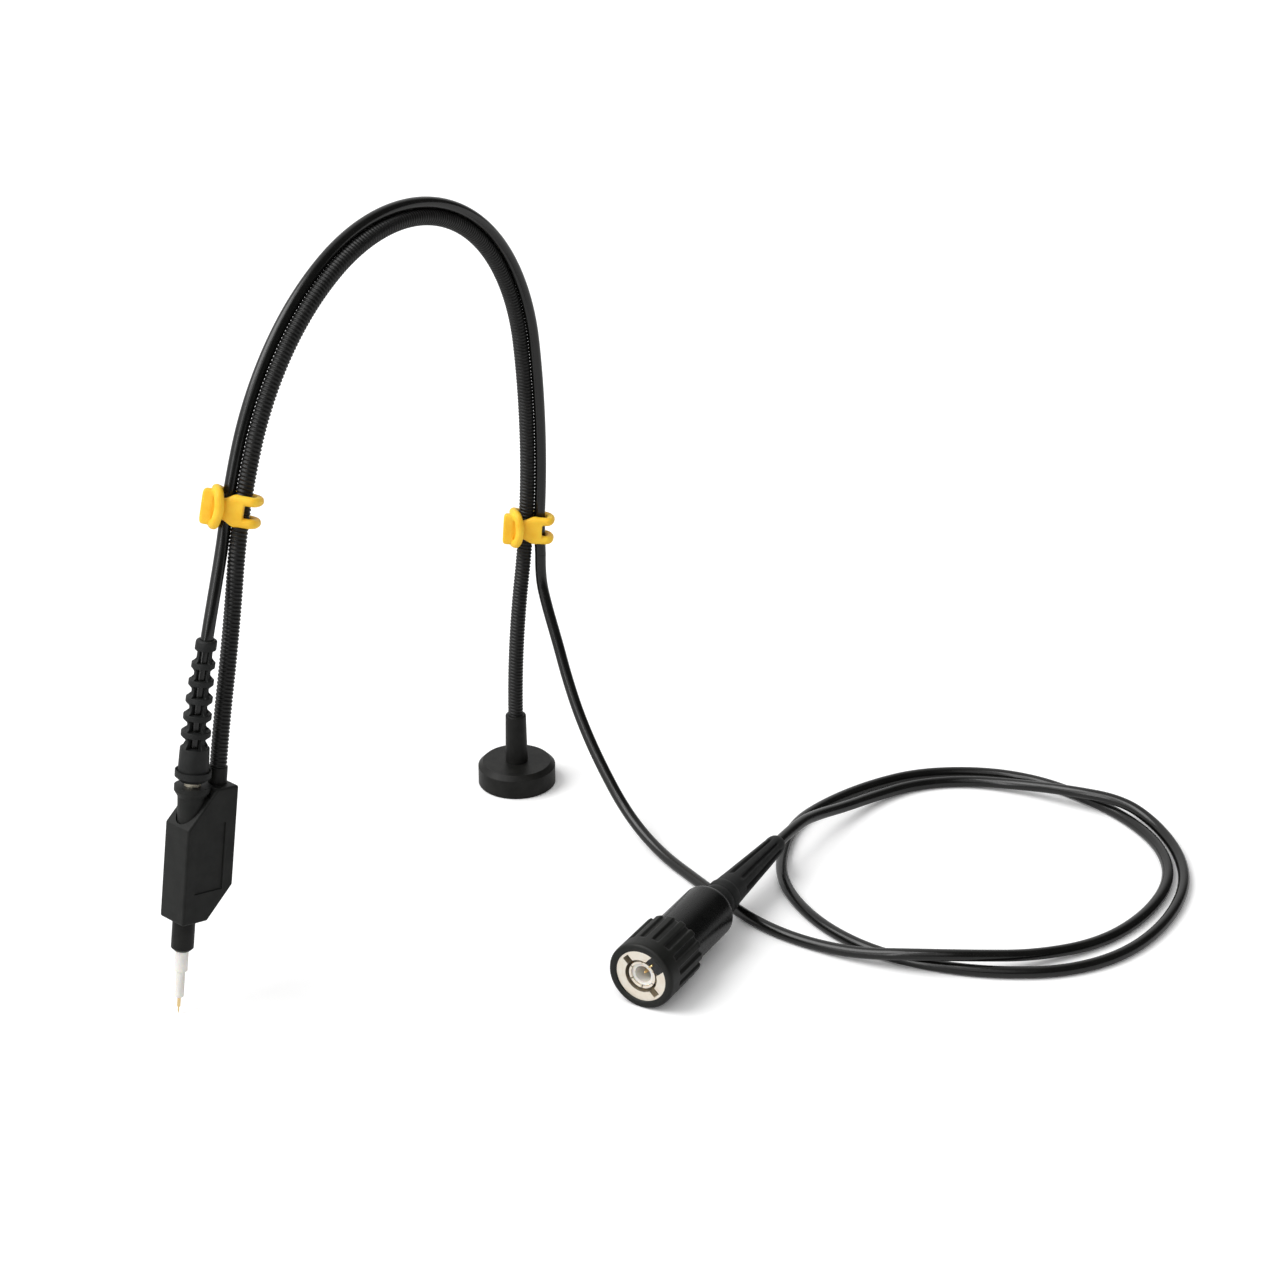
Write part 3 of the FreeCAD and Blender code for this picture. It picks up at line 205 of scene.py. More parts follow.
boardSet = {
    "mask": (0.012, 0.10, 0.035),
    "track": (0.03, 0.20, 0.08),
    "trackScale": 900,
}


def makeBoard():
    # solder mask with lighter tracks under it: the edges of square cells
    material, tree, shader = newMaterial("boardGreen")
    place = addNode(tree, "ShaderNodeTexCoord")
    cells = addNode(tree, "ShaderNodeTexVoronoi", distance="CHEBYCHEV", feature="F2",
                    Scale=boardSet["trackScale"], Randomness=0.7)
    tree.links.new(place.outputs["Object"], cells.inputs["Vector"])
    share = ramp(tree, cells.outputs["Distance"], 0.62, 0.70, 0, 1)
    tree.links.new(mixed(tree, share, boardSet["mask"], boardSet["track"]), shader.inputs["Base Color"])
    tree.links.new(ramp(tree, noise(tree, 2400), 0.3, 0.7, 0.22, 0.36), shader.inputs["Roughness"])
    bumped(tree, shader, share, 2e-5)
    return material


materials["boardGreen"] = makeBoard()
print("materials made:", len(materials))

# Surfaces


def makePiece(name, points, quads, material, body=None, slot=None, replaced=()):
    # a mesh piece at the origin, its faces turned outwards by the sign of its volume
    points = np.asarray(points, float).reshape(-1, 3)
    quads = np.asarray(quads, int)
    a, b, c = points[quads[:, 0]], points[quads[:, 1]], points[quads[:, 2]]
    volume = np.einsum("ij,ij->", a, np.cross(b, c))
    if quads.shape[1] == 4:
        volume += np.einsum("ij,ij->", a, np.cross(c, points[quads[:, 3]]))
    if volume < 0:
        quads = quads[:, ::-1]
    faces = [[v for n, v in enumerate(face) if v not in face[:n]] for face in quads.tolist()]
    mesh = bpy.data.meshes.new(name)
    mesh.from_pydata(points.tolist(), [], faces)
    mesh.polygons.foreach_set("use_smooth", np.ones(len(mesh.polygons), bool))
    mesh.set_sharp_from_angle(angle=math.radians(62))
    mesh.materials.append(materials[material])
    piece = bpy.data.objects.new(name, mesh)
    bpy.context.collection.objects.link(piece)
    if replaced:
        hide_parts(*replaced)
    if body:
        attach(piece, body)
    return piece


def gridQuads(rows, columns):
    # quads between neighbouring rows of a grid whose columns close on themselves
    row, column = np.meshgrid(np.arange(rows - 1), np.arange(columns), indexing="ij")
    after = (column + 1) % columns
    corners = [row * columns + column, row * columns + after,
               (row + 1) * columns + after, (row + 1) * columns + column]
    return np.stack([corner.ravel() for corner in corners], axis=1)


def closedQuads(rows, columns):
    # the grid's quads and a fan at each end round the two points that follow the grid's own,
    # its triangles written as quads with a doubled corner
    column = np.arange(columns)
    after = (column + 1) % columns
    top = (rows - 1) * columns
    firstEnd, lastEnd = np.full(columns, rows * columns), np.full(columns, rows * columns + 1)
    low = np.stack([after, column, firstEnd, firstEnd], axis=1)
    high = np.stack([top + column, top + after, lastEnd, lastEnd], axis=1)
    return np.concatenate([gridQuads(rows, columns), low, high])


def tube(centres, sideways, upwards, radii):
    # point = centre + radius x (cos turn x sideways + sin turn x upwards), closed at both ends
    rows, columns = radii.shape
    turn = np.linspace(0, 2 * np.pi, columns, endpoint=False)
    ring = sideways[:, None] * np.cos(turn)[:, None] + upwards[:, None] * np.sin(turn)[:, None]
    points = (centres[:, None] + ring * radii[..., None]).reshape(-1, 3)
    return np.concatenate([points, centres[:1], centres[-1:]]), closedQuads(rows, columns)


def acrossOf(centres, reference):
    # two unit vectors across a line of points, the first as near the reference as it can be
    along = np.gradient(centres, axis=0)
    along /= np.linalg.norm(along, axis=1)[:, None]
    first = reference - (along * reference).sum(1)[:, None] * along
    first /= np.linalg.norm(first, axis=1)[:, None]
    return first, np.cross(along, first)


def turnedSurface(place, profile, columns, depth=None):
    # profile of (radius, height) turned about the place's Z, less depth(turn, height) in radius;
    # a profile that starts and ends off the axis closes on itself
    profile = np.asarray(profile, float)
    turn = np.linspace(0, 2 * np.pi, columns, endpoint=False)
    radius = np.repeat(profile[:, :1], columns, axis=1)
    height = np.repeat(profile[:, 1:2], columns, axis=1)
    if depth is not None:
        radius = radius - depth(turn[None], height, radius)
    points = np.stack([radius * np.cos(turn), radius * np.sin(turn), height], axis=-1).reshape(-1, 3)
    quads = gridQuads(len(profile), columns)
    last = (len(profile) - 1) * columns
    if profile[0, 0] > 0:
        column = np.arange(columns)
        after = (column + 1) % columns
        quads = np.concatenate([quads, np.stack([last + column, last + after, after, column], axis=1)])
    else:
        quads[quads < columns] = 0
        quads[quads >= last] = last
    return placed(place, points), quads


def placed(place, points):
    # points of a piece's own frame in mm, turned and moved to the place, in metres
    turning, origin = place
    return (np.asarray(points, float) @ turning.T + origin) * mm


def smoothStep(x):
    x = np.clip(x, 0, 1)
    return x * x * (3 - 2 * x)


# Course of the arm

arm = {
    # lengths of the stretches and the lean from upright at the end of each, in degrees
    "bends": [(45.3, -12), (43.2, 0.6), (32.2, 8.4), (30.1, 35.7), (26.2, 62.1), (27.1, 88.6),
              (29.2, 115.5), (30.2, 138.3), (25.1, 156.4), (33.2, 168.8), (30.2, 165.3), (27.05, 169)],
    "rimHeight": 23.8,  # the socket's rim, where the arm starts
    "seat": 9.8,
    "intoHead": 7.0,
    "cuts": (146, 246),  # where one piece of the arm's skin and cable ends and the next begins
    "radius": 2.35,
    "endRadius": 2.15,  # inside the sockets at both ends
    "ridgePitch": 1.07,
    "ridgeDepth": 0.27,
    "ridgeSharp": 3.2,  # the higher, the narrower the groove between two ridges
    "columns": 26,
    "rowsPerRidge": 10,
}
stops = np.concatenate([[0], np.cumsum([length for length, _ in arm["bends"]])])
headings = np.radians([0] + [heading for _, heading in arm["bends"]])
armLength = stops[-1]
travel = np.arange(-arm["seat"], armLength + arm["intoHead"] + 0.01, 0.02)  # every 0.02 mm
headingAlong = np.interp(travel, stops, headings)
middle = (headingAlong[1:] + headingAlong[:-1]) / 2
steps = np.diff(travel)
course = np.zeros((len(travel), 3))
course[1:, 0] = np.cumsum(np.sin(middle) * steps)
course[1:, 2] = np.cumsum(np.cos(middle) * steps)
rim = np.searchsorted(travel, 0.0)
course += np.array([0, 0, arm["rimHeight"]]) - course[rim]


def armAt(distance):
    # places on the arm's middle, and the outward and forward directions there
    distance = np.atleast_1d(np.asarray(distance, float))
    place = np.stack([np.interp(distance, travel, course[:, k]) for k in range(3)], axis=1)
    heading = np.interp(distance, stops, headings)
    zero = np.zeros_like(heading)
    outward = np.stack([-np.cos(heading), zero, np.sin(heading)], axis=1)
    along = np.stack([np.sin(heading), zero, np.cos(heading)], axis=1)
    return place, outward, along


def turnAbout(axis, degrees):
    c, s = math.cos(math.radians(degrees)), math.sin(math.radians(degrees))
    if axis == "Y":
        return np.array([[c, 0, s], [0, 1, 0], [-s, 0, c]])
    return np.array([[c, -s, 0], [s, c, 0], [0, 0, 1.0]])


head = {
    "twist": -11,  # degrees about its own length
    "needleX": 8.4,  # from the arm's end to the needle's line
    "bend": 1.7,  # how far the boot leans towards the arm, at the height bendTo
    "bendFrom": 8.0,
    "bendTo": 40.0,
}
headTurn = turnAbout("Y", math.degrees(headings[-1]) - 180) @ turnAbout("Z", head["twist"])
headPlace = (headTurn, armAt(armLength)[0][0])
needlePlace = (headTurn, headPlace[1] + headTurn @ np.array([head["needleX"], 0, 0]))

plug = {"front": (89, 102.9, 9.85), "heading": 3.65}  # middle of its front face, degrees about Z
plugTurn = turnAbout("Z", plug["heading"]) @ np.array([[0, 0, -1.0], [0, 1, 0], [1, 0, 0]])
plugPlace = (plugTurn, np.array(plug["front"], float))

# Free cable: the route of the CAD model, as the control points of one smooth spline

cable = {
    "radius": 1.7,
    "exit": (-8.886, 4.236, 75.865),
    "length": 0.852,  # metres, from the lower tie to the plug's boot
    "route": [
        (-8.886, 4.236, 75.865), (-8.114, 4.527, 68.914),
        (-7.0, 7.4, 60.8), (-5.4, 12.6, 49.3), (-3.3, 17.5, 38.9), (-0.3, 24.2, 28.5),
        (3.9, 34.2, 17.5), (9.6, 47.5, 6.9), (16.6, 63.5, 1.7), (25.3, 83.0, 1.7),
        (33.2, 101.0, 1.7), (37.0, 114.5, 1.7), (37.4, 128.5, 1.7), (36.4, 142.5, 3.0),
        (33.4, 156.8, 5.9), (24.6, 171.8, 5.9), (10.8, 184.6, 3.0), (-7.0, 196.4, 1.7),
        (-28.0, 201.2, 1.7), (-50.0, 199.4, 1.7), (-67.0, 189.6, 1.7), (-78.5, 173.5, 1.7),
        (-84.3, 155.0, 1.7), (-86.0, 138.0, 1.7), (-81.5, 121.5, 1.7), (-70.0, 105.5, 1.7),
        (-54.5, 96.3, 1.7), (-37.5, 90.6, 1.7), (-21.0, 88.6, 1.7), (-5.0, 93.6, 1.7),
        (9.5, 101.3, 1.7), (20.5, 113.2, 1.7), (28.2, 127.8, 1.7), (31.6, 144.5, 1.7),
        (29.6, 161.0, 1.7), (23.2, 178.2, 1.7), (12.0, 194.4, 1.7), (-5.0, 204.8, 1.7),
        (-27.0, 207.8, 1.7), (-49.5, 204.5, 1.7), (-66.5, 195.4, 1.7), (-78.0, 182.4, 3.0),
        (-81.0, 170.0, 5.9), (-78.0, 153.5, 5.9), (-78.6, 138.0, 3.0), (-74.0, 120.5, 1.7),
        (-62.5, 107.7, 1.7), (-47.0, 101.6, 2.6), (-32.5, 98.9, 4.8), (-20.0, 97.0, 7.6),
        (-8.701, 96.668, 9.85), (4.272, 97.495, 9.85),
    ],
}


def splineCurve(name, route, radius):
    # a round cord along a smooth spline that the route's points control
    curve = bpy.data.curves.new(name, "CURVE")
    curve.dimensions = "3D"
    curve.bevel_depth = radius * mm
    curve.bevel_resolution = 6
    curve.use_fill_caps = True
    spline = curve.splines.new("NURBS")
    spline.points.add(len(route) - 1)
    flat = np.concatenate([np.asarray(route, float) * mm, np.ones((len(route), 1))], axis=1)
    spline.points.foreach_set("co", flat.ravel())
    spline.order_u = 3
    spline.use_endpoint_u = True
    spline.resolution_u = 12
    return curve


freeCurve = splineCurve("freeCable", cable["route"], cable["radius"])
freeCurve.materials.append(materials["cableJacket"])
freeCable = bpy.data.objects.new("freeCable", freeCurve)
bpy.context.collection.objects.link(freeCable)
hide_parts("cable_free")
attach(freeCable, "stand")
print("free cable laid")

# Gooseneck: three skins, one after another along the arm

firstCut, lastCut = arm["cuts"]
skins = [
    # name, from, to, bodies, where the bend starts and ends (distances along the arm), CAD nodes
    ("gooseneckRear", -arm["seat"], firstCut, ("stand", "arm_rear"), (70, 107), ["neck_lower", "neck_rear"]),
    ("gooseneckTop", firstCut, lastCut, ("arm_rear", "arm_front"), (184, 224), ["neck_front"]),
    ("gooseneckHead", lastCut, armLength + arm["intoHead"], ("arm_front", "probe"), (274, 298), ["neck_tip"]),
]


def bendAcross(piece):
    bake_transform(piece)


for name, start, end, bodies, span, replaced in skins:
    rows = int((end - start) / arm["ridgePitch"] * arm["rowsPerRidge"]) + 1
    distance = np.linspace(start, end, rows)
    turn = np.linspace(0, 2 * np.pi, arm["columns"], endpoint=False)
    # radius = outer radius less a groove that winds round as a screw thread, one turn per ridge
    phase = distance[:, None] / arm["ridgePitch"] - turn[None] / (2 * np.pi)
    groove = np.abs(np.cos(np.pi * phase)) ** arm["ridgeSharp"]
    seen = smoothStep((distance + 0.5) / 1.5) * smoothStep((armLength + 0.5 - distance) / 1.5)
    outer = arm["endRadius"] + (arm["radius"] - arm["endRadius"]) * seen[:, None]
    radii = outer - arm["ridgeDepth"] * groove
    place, outward, _ = armAt(distance)
    sideways = np.tile([0.0, 1.0, 0.0], (rows, 1))
    skin = makePiece(name, *tube(place * mm, outward, sideways, radii * mm),
                     "armBlack", slot="arm_black", replaced=replaced)
    bendAcross(skin)
print("gooseneck made")

# Cable along the arm, in three pieces beside the gooseneck's three skins

held = {
    "standOff": 3.95,
    "sides": [(0, 57), (110, 57), (136, 48), (163, 24), (190, 0), (204.1, -15), (214, -30),
              (235, -50), (255, -58), (262, -61), (400, -61)],  # distance, degrees round the arm
    "leave": 309.0,  # where the cable leaves the arm for the boot
    "lowFrom": 67.0,  # where it begins to leave the arm on its way down
    "lowEnd": 53.0,  # where the free cable takes over
    "entry": 41.0,  # height at which it enters the boot, above the socket's rim
    "inside": 4.5,  # and how low it reaches in there
    "columns": 28,
}


def bootShift(height):
    # the boot's middle line at a height above the socket's rim: straight, then a parabola
    rise = (height - head["bendFrom"]) / (head["bendTo"] - head["bendFrom"])
    return -head["bend"] * np.clip(rise, 0, None) ** 2


def heldAt(distance):
    # the cable's middle: beside the arm at the stand-off, on the side that the table gives
    place, outward, _ = armAt(distance)
    side = np.array(held["sides"], float)
    # the table's corners are smoothed by averaging over a stretch of 16 mm
    spread = [np.interp(distance + shift, side[:, 0], side[:, 1]) for shift in np.linspace(-8, 8, 9)]
    angle = np.radians(np.mean(spread, axis=0))
    across = outward * np.cos(angle)[:, None] + np.array([0, 1.0, 0]) * np.sin(angle)[:, None]
    share = np.clip((held["lowFrom"] - distance) / (held["lowFrom"] - held["lowEnd"]), 0, 1) ** 1.6
    return place + across * held["standOff"] + lowShift * share[:, None]


# from the stand-off at the low end to the place where the free cable starts
lowAngle = math.radians(held["sides"][0][1])
lowSide = armAt(held["lowEnd"])[1][0] * math.cos(lowAngle) + np.array([0, math.sin(lowAngle), 0])
lowShift = np.array(cable["exit"]) - (armAt(held["lowEnd"])[0][0] + lowSide * held["standOff"])


def bootMiddle(heights):
    # places on the boot's middle line
    points = np.stack([head["needleX"] + bootShift(heights), 0 * heights, heights], axis=1)
    return points @ headTurn.T + headPlace[1]


leave = heldAt(np.array([held["leave"] - 0.5, held["leave"]]))
leaveWay = (leave[1] - leave[0]) / np.linalg.norm(leave[1] - leave[0])
entry, entryAhead = bootMiddle(np.array([held["entry"], held["entry"] - 1]))
entryWay = (entryAhead - entry) / np.linalg.norm(entryAhead - entry)
gapLength = np.linalg.norm(entry - leave[1])
share = np.linspace(0, 1, 60)[1:-1, None]
# cubic between the two ends that keeps both directions
bridge = ((1 - share) ** 3 * leave[1] + 3 * share * (1 - share) ** 2 * (leave[1] + leaveWay * gapLength / 3)
          + 3 * share ** 2 * (1 - share) * (entry - entryWay * gapLength / 3) + share ** 3 * entry)
inBoot = bootMiddle(np.linspace(held["entry"], held["inside"], 60))
toHead = np.concatenate([heldAt(np.linspace(lastCut, held["leave"], 130)), bridge, inBoot])
cableRuns = [
    # name, middle line, number of the skin that it runs beside, CAD nodes
    ("heldCableRear", heldAt(np.linspace(held["lowEnd"], firstCut, 190)), 0, ["cable_lower", "cable_rear"]),
    ("heldCableTop", heldAt(np.linspace(firstCut, lastCut, 200)), 1, ["cable_front"]),
    ("heldCableHead", toHead, 2, ["cable_tip"]),
]
for name, line, number, replaced in cableRuns:
    first, second = acrossOf(line, np.array([0.0, 1.0, 0.0]))
    radii = np.full((len(line), held["columns"]), cable["radius"])
    run = makePiece(name, *tube(line * mm, first, second, radii * mm),
                    "cableJacket", slot="cable_jacket", replaced=replaced)
    bodies, span = skins[number][3:5]
    bendAcross(run)
print("cable along the arm made")

# Cable ties of soft silicone: a waisted strap with a handle in front, its two arms go round behind
# and close in an oval loop round the waist. Own frame: X to the handle, Y to the front, Z along.

tieSet = {
    "cord": 1.3,  # half thickness of strap and arms
    "gap": 0.1,
    "lobe": 2.9,  # how far the arms stand from the middle behind
    "loop": 4.35,  # and in the loop round the waist
    "apart": 4.1,  # between the arm's middle and the cable's
    "slabLength": 9.6,  # the handle
    "slabThickness": 3.4,
    "waist": 5.7,
    "wide": 8.8,
    "voxel": 0.17,
    "lower": 61.5,  # distances along the arm
    "upper": 304.0,
}


def roundedBar(xs, halfWidth, halfThick, yMiddle, columns=40, power=3.0):
    # section = superellipse of the given half width along Z and half thickness along Y, at each x
    turn = np.linspace(0, 2 * np.pi, columns, endpoint=False)
    c, s = np.cos(turn), np.sin(turn)
    z = np.sign(s) * np.abs(s) ** (2 / power)
    y = np.sign(c) * np.abs(c) ** (2 / power)
    points = np.stack([np.repeat(xs[:, None], columns, axis=1),
                       yMiddle[:, None] + halfThick[:, None] * y,
                       halfWidth[:, None] * z], axis=-1).reshape(-1, 3)
    points = np.concatenate([points, [[xs[0], yMiddle[0], 0], [xs[-1], yMiddle[-1], 0]]])
    return points, closedQuads(len(xs), columns)


def smoothLine(route):
    # points read from a smooth spline through the route
    curve = splineCurve("route", route, 0)
    holder = bpy.data.objects.new("route", curve)
    mesh = bpy.data.meshes.new_from_object(holder)
    line = np.array([vertex.co for vertex in mesh.vertices]) / mm
    bpy.data.objects.remove(holder)
    bpy.data.meshes.remove(mesh)
    return line


def makeTie(name, node, body, place, nearRadius, farRadius):
    cord, gap = tieSet["cord"], tieSet["gap"]
    nearBack, farBack = nearRadius + gap + cord, farRadius + gap + cord
    front = max(nearBack, farBack)
    apart = tieSet["apart"]
    farSide = -apart - farBack - 2 * gap
    bar = nearBack - 1.8  # where the arms close in front of the waist
    slabStart = bar + 1.45
    slabEnd = slabStart + tieSet["slabThickness"]
    waist, wide, lobe, loop = tieSet["waist"] / 2, tieSet["wide"] / 2, tieSet["lobe"], tieSet["loop"]
    over = front + 2 * cord + gap
    strapEnd = -apart - 0.9
    # one arm: from the strap's end round the far one, behind both, and round to the loop in front
    side = [
        (strapEnd + 2 * cord, front, lobe), (strapEnd, front, lobe), (farSide, front, lobe),
        (farSide, -farBack, lobe), (nearBack / 2, -front - gap, lobe + gap),
        (nearBack + 0.3, -0.9, loop - 0.1), (nearBack + 0.2, 1.3, loop + 0.25),
        (bar + 0.75, front + 1.1, loop + 0.25), (bar + 0.05, over, loop - 1.4),
    ]
    route = [*side, (bar - 0.5, over + gap, 0), *((x, y, -z) for x, y, z in reversed(side))]
    line = smoothLine(route)
    parts = [tube(line, *carried(line), np.full((len(line), 24), cord))]
    # the strap: wide in its middle and narrow at its waist, its width smoothed over 11 rows
    xs = np.linspace(strapEnd, slabStart + 0.6, 60)
    width = np.interp(xs, [strapEnd, -2.4, bar - cord, slabStart + 0.6],
                      [lobe + cord * 0.9, wide, waist, waist])
    width = np.convolve(np.pad(width, 5, mode="edge"), np.ones(11) / 11, "valid")
    parts.append(roundedBar(xs, width, np.full(60, cord), np.full(60, front)))
    # the handle: a slab with rounded faces
    inset = np.array([0, 0.15, 0.45, 1.0])
    size = np.array([0.75, 0.9, 0.97, 1.0, 1.0, 0.97, 0.9, 0.75])
    parts.append(roundedBar(np.concatenate([slabStart + inset, slabEnd - inset[::-1]]),
                            size * tieSet["slabLength"] / 2, size * cord * 1.15, np.full(8, front),
                            power=5.0))
    firsts = np.cumsum([0] + [len(points) for points, _ in parts])
    piece = makePiece(name, placed(place, np.concatenate([points for points, _ in parts])),
                      np.concatenate([quads + first for (_, quads), first in zip(parts, firsts)]),
                      "tieSilicone", slot="tie_silicone")
    remesh = piece.modifiers.new("remesh", "REMESH")
    remesh.mode = "VOXEL"
    remesh.voxel_size = tieSet["voxel"] * mm
    smooth = piece.modifiers.new("smooth", "SMOOTH")
    smooth.factor = 0.5
    smooth.iterations = 12
    keepResult(piece)
    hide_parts(node)
    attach(piece, body)


def carried(line):
    # two unit vectors across a line, the first carried from point to point without twist
    along = np.gradient(line, axis=0)
    along /= np.linalg.norm(along, axis=1)[:, None]
    first = np.zeros_like(line)
    across = np.array([0.0, 1.0, 0.3])
    for number, way in enumerate(along):
        across = across - (across @ way) * way
        across = across / np.linalg.norm(across)
        first[number] = across
    return first, np.cross(along, first)


def keepResult(piece):
    # the piece's mesh becomes what its modifiers make of it
    graph = bpy.context.evaluated_depsgraph_get()
    graph.update()
    mesh = bpy.data.meshes.new_from_object(piece.evaluated_get(graph))
    mesh.polygons.foreach_set("use_smooth", np.ones(len(mesh.polygons), bool))
    old = piece.data
    piece.modifiers.clear()
    piece.data = mesh
    bpy.data.meshes.remove(old)


def tiePlace(distance, handleToArm):
    # the tie's own frame at a distance along the arm, on the arm or on the cable beside it
    armMiddle, outward, along = (value[0] for value in armAt(distance))
    side = np.array(held["sides"], float)
    angle = math.radians(np.interp(distance, side[:, 0], side[:, 1]))
    across = outward * math.cos(angle) + np.array([0, 1.0, 0]) * math.sin(angle)
    origin = armMiddle if handleToArm else armMiddle + across * held["standOff"]
    x = -across if handleToArm else across
    z = along if handleToArm else -along
    return np.stack([x, np.cross(z, x), z], axis=1), origin


makeTie("tieLower", "cable_clip_lower", "stand", tiePlace(tieSet["lower"], True),
        arm["radius"], cable["radius"])
makeTie("tieUpper", "cable_clip_upper", "probe", tiePlace(tieSet["upper"], False),
        cable["radius"], arm["radius"])
print("ties made")

# Boot of the cable at the head: a sleeve with rings and rows of windows, bent a little by the cable

boot = {
    # heights above the socket's rim, and radii
    "bottom": 4.4,
    "skirtTop": 11.2,
    "collarBottom": 38.3,
    "top": 41.0,
    "base": 4.2,
    "shoulder": 3.95,
    "tubeLow": 3.1,
    "tubeHigh": 2.35,
    "ringLow": 4.0,
    "ringHigh": 3.15,
    "ringSpan": (15.4, 34.2),  # heights that the two ring radii belong to
    "collar": 2.85,
    "bore": 1.78,
    "windows": 6,  # in each of the four rows
    "windowTop": 36.5,  # middle of the highest
    "pitch": 4.7,
    "windowHeight": 3.15,
    "windowWidth": 3.3,
    "windowRadius": 2.9,  # radius at which a window is that wide
    "turn": 47,
}


def bootRadius(height):
    # skirt, shoulder, tapering tube with a rounded ring between each pair of windows, and collar
    skirtTop = boot["skirtTop"]
    tubeR = np.interp(height, [skirtTop + 0.3, boot["collarBottom"]], [boot["tubeLow"], boot["tubeHigh"]])
    skirt = np.interp(height, [boot["bottom"], skirtTop], [boot["base"], boot["shoulder"]])
    radius = skirt + (tubeR - skirt) * smoothStep((height - skirtTop - 0.1) / 1.7)
    for number in range(boot["windows"] - 1):
        ringMiddle = boot["windowTop"] - boot["pitch"] * (number + 0.5)
        ring = np.interp(ringMiddle, boot["ringSpan"], [boot["ringLow"], boot["ringHigh"]])
        radius = radius + (ring - tubeR) * smoothStep((1.45 - np.abs(height - ringMiddle)) / 0.75)
    collar = smoothStep((height - boot["collarBottom"] + 0.35) / 0.4)
    rounding = 0.35 * smoothStep((height - boot["top"] + 0.5) / 0.5) ** 2
    radius = radius + (boot["collar"] - radius) * collar - rounding
    return radius - 0.25 * smoothStep((boot["bottom"] + 0.4 - height) / 0.4) ** 2


def makeBoot():
    # rows and columns stand closer at the windows' edges; cells inside a window are left out, and
    # the outer and inner walls are joined along every edge of what is left
    half = boot["windowHeight"] / 2
    offsets = [-half - 0.12, -half, -half + 0.15, -0.9, -0.3, 0.3, 0.9, half - 0.15, half, half + 0.12]
    centres = boot["windowTop"] - boot["pitch"] * np.arange(boot["windows"])
    rows = [offset + centre for centre in centres for offset in offsets]
    rows += [centre + boot["pitch"] / 2 + step for centre in centres for step in (-0.35, 0.0, 0.35)]
    rows += [*np.linspace(boot["bottom"], boot["skirtTop"] - 0.2, 12)]
    rows += [boot["bottom"] + 0.1, boot["bottom"] + 0.3]
    rows += [boot["collarBottom"] + step for step in (-0.25, -0.1, 0.05, 0.3, 1.0, 1.8, 2.3, 2.55, 2.7)]
    rows = np.unique(np.round(sorted(rows), 3))
    rows = rows[np.concatenate([[True], np.diff(rows) > 0.08])]
    halfTurn = math.degrees(boot["windowWidth"] / 2 / boot["windowRadius"])
    quarter = [-halfTurn - 2.5, -halfTurn, -halfTurn + 3, -14, -5, 5, 14,
               halfTurn - 3, halfTurn, halfTurn + 2.5, 37, 45, 53]
    degrees = np.sort([angle + 90 * k for k in range(4) for angle in quarter])
    columns = np.radians(degrees) + math.radians(boot["turn"])
    columnMiddle = (degrees + np.append(degrees[1:], degrees[0] + 360)) / 2
    rowMiddle = (rows[1:] + rows[:-1]) / 2
    inRow = (np.abs(rowMiddle[:, None] - centres[None]) < half).any(axis=1)
    inColumn = np.abs((columnMiddle + 45) % 90 - 45) < halfTurn
    kept = ~(inRow[:, None] & inColumn[None])

    count, around = len(rows), len(columns)
    bend = bootShift(rows)[:, None]
    height = np.repeat(rows[:, None], around, axis=1)
    outside = np.repeat(bootRadius(rows)[:, None], around, axis=1)
    walls = [np.stack([r * np.cos(columns) + bend, r * np.sin(columns), height], axis=-1).reshape(-1, 3)
             for r in (outside, np.full((count, around), boot["bore"]))]

    def spot(row, column):
        return row * around + column % around

    def joined(start, end):
        # from the outer wall to the inner one along an edge
        return np.stack([start, end, end + count * around, start + count * around], axis=1)

    row, column = np.nonzero(kept)
    skin = np.stack([spot(row, column), spot(row, column + 1),
                     spot(row + 1, column + 1), spot(row + 1, column)], axis=1)
    quads = [skin, skin[:, ::-1] + count * around]
    framed = np.pad(kept, ((1, 1), (0, 0)))
    row, column = np.nonzero(framed[1:] & ~framed[:-1])  # a kept cell above only
    quads.append(joined(spot(row, column + 1), spot(row, column)))
    row, column = np.nonzero(framed[:-1] & ~framed[1:])  # below only
    quads.append(joined(spot(row, column), spot(row, column + 1)))
    row, column = np.nonzero(kept & ~np.roll(kept, 1, axis=1))  # on the right only
    quads.append(joined(spot(row, column), spot(row + 1, column)))
    row, column = np.nonzero(kept & ~np.roll(kept, -1, axis=1))  # on the left only
    quads.append(joined(spot(row + 1, column + 1), spot(row, column + 1)))
    piece = makePiece("headBoot", placed(needlePlace, np.concatenate(walls)), np.concatenate(quads),
                      "bootRubber", body="probe", slot="boot_rubber", replaced=["cable_boot"])
    soft = piece.modifiers.new("soft", "SUBSURF")
    soft.levels = soft.render_levels = 1


makeBoot()
print("boot at the head made")

# Plug: grooved coupling shell, boot with long grooves, wave washer, readout block and pin, with
# heights measured from the front face

shellSet = {
    "outer": 9.85,
    "bore": 7.6,
    "neck": 6.0,  # the hole in its rear wall
    "length": 18.0,
    "step": 15.9,  # height of the rear wall's inner face
    "grooves": 16,
    "grooveShare": 0.46,
    "grooveEdge": 0.06,
    "grooveStart": 4.6,
    "grooveDepth": 0.75,
    "columns": 288,
}


def wave(turn, count, share, edge):
    # 1 in each groove and 0 on each ridge, with sloped sides: share of the pitch that is groove
    place = np.abs((turn * count / (2 * np.pi) + 0.5) % 1 - 0.5)
    return smoothStep((share / 2 + edge - place) / (2 * edge))


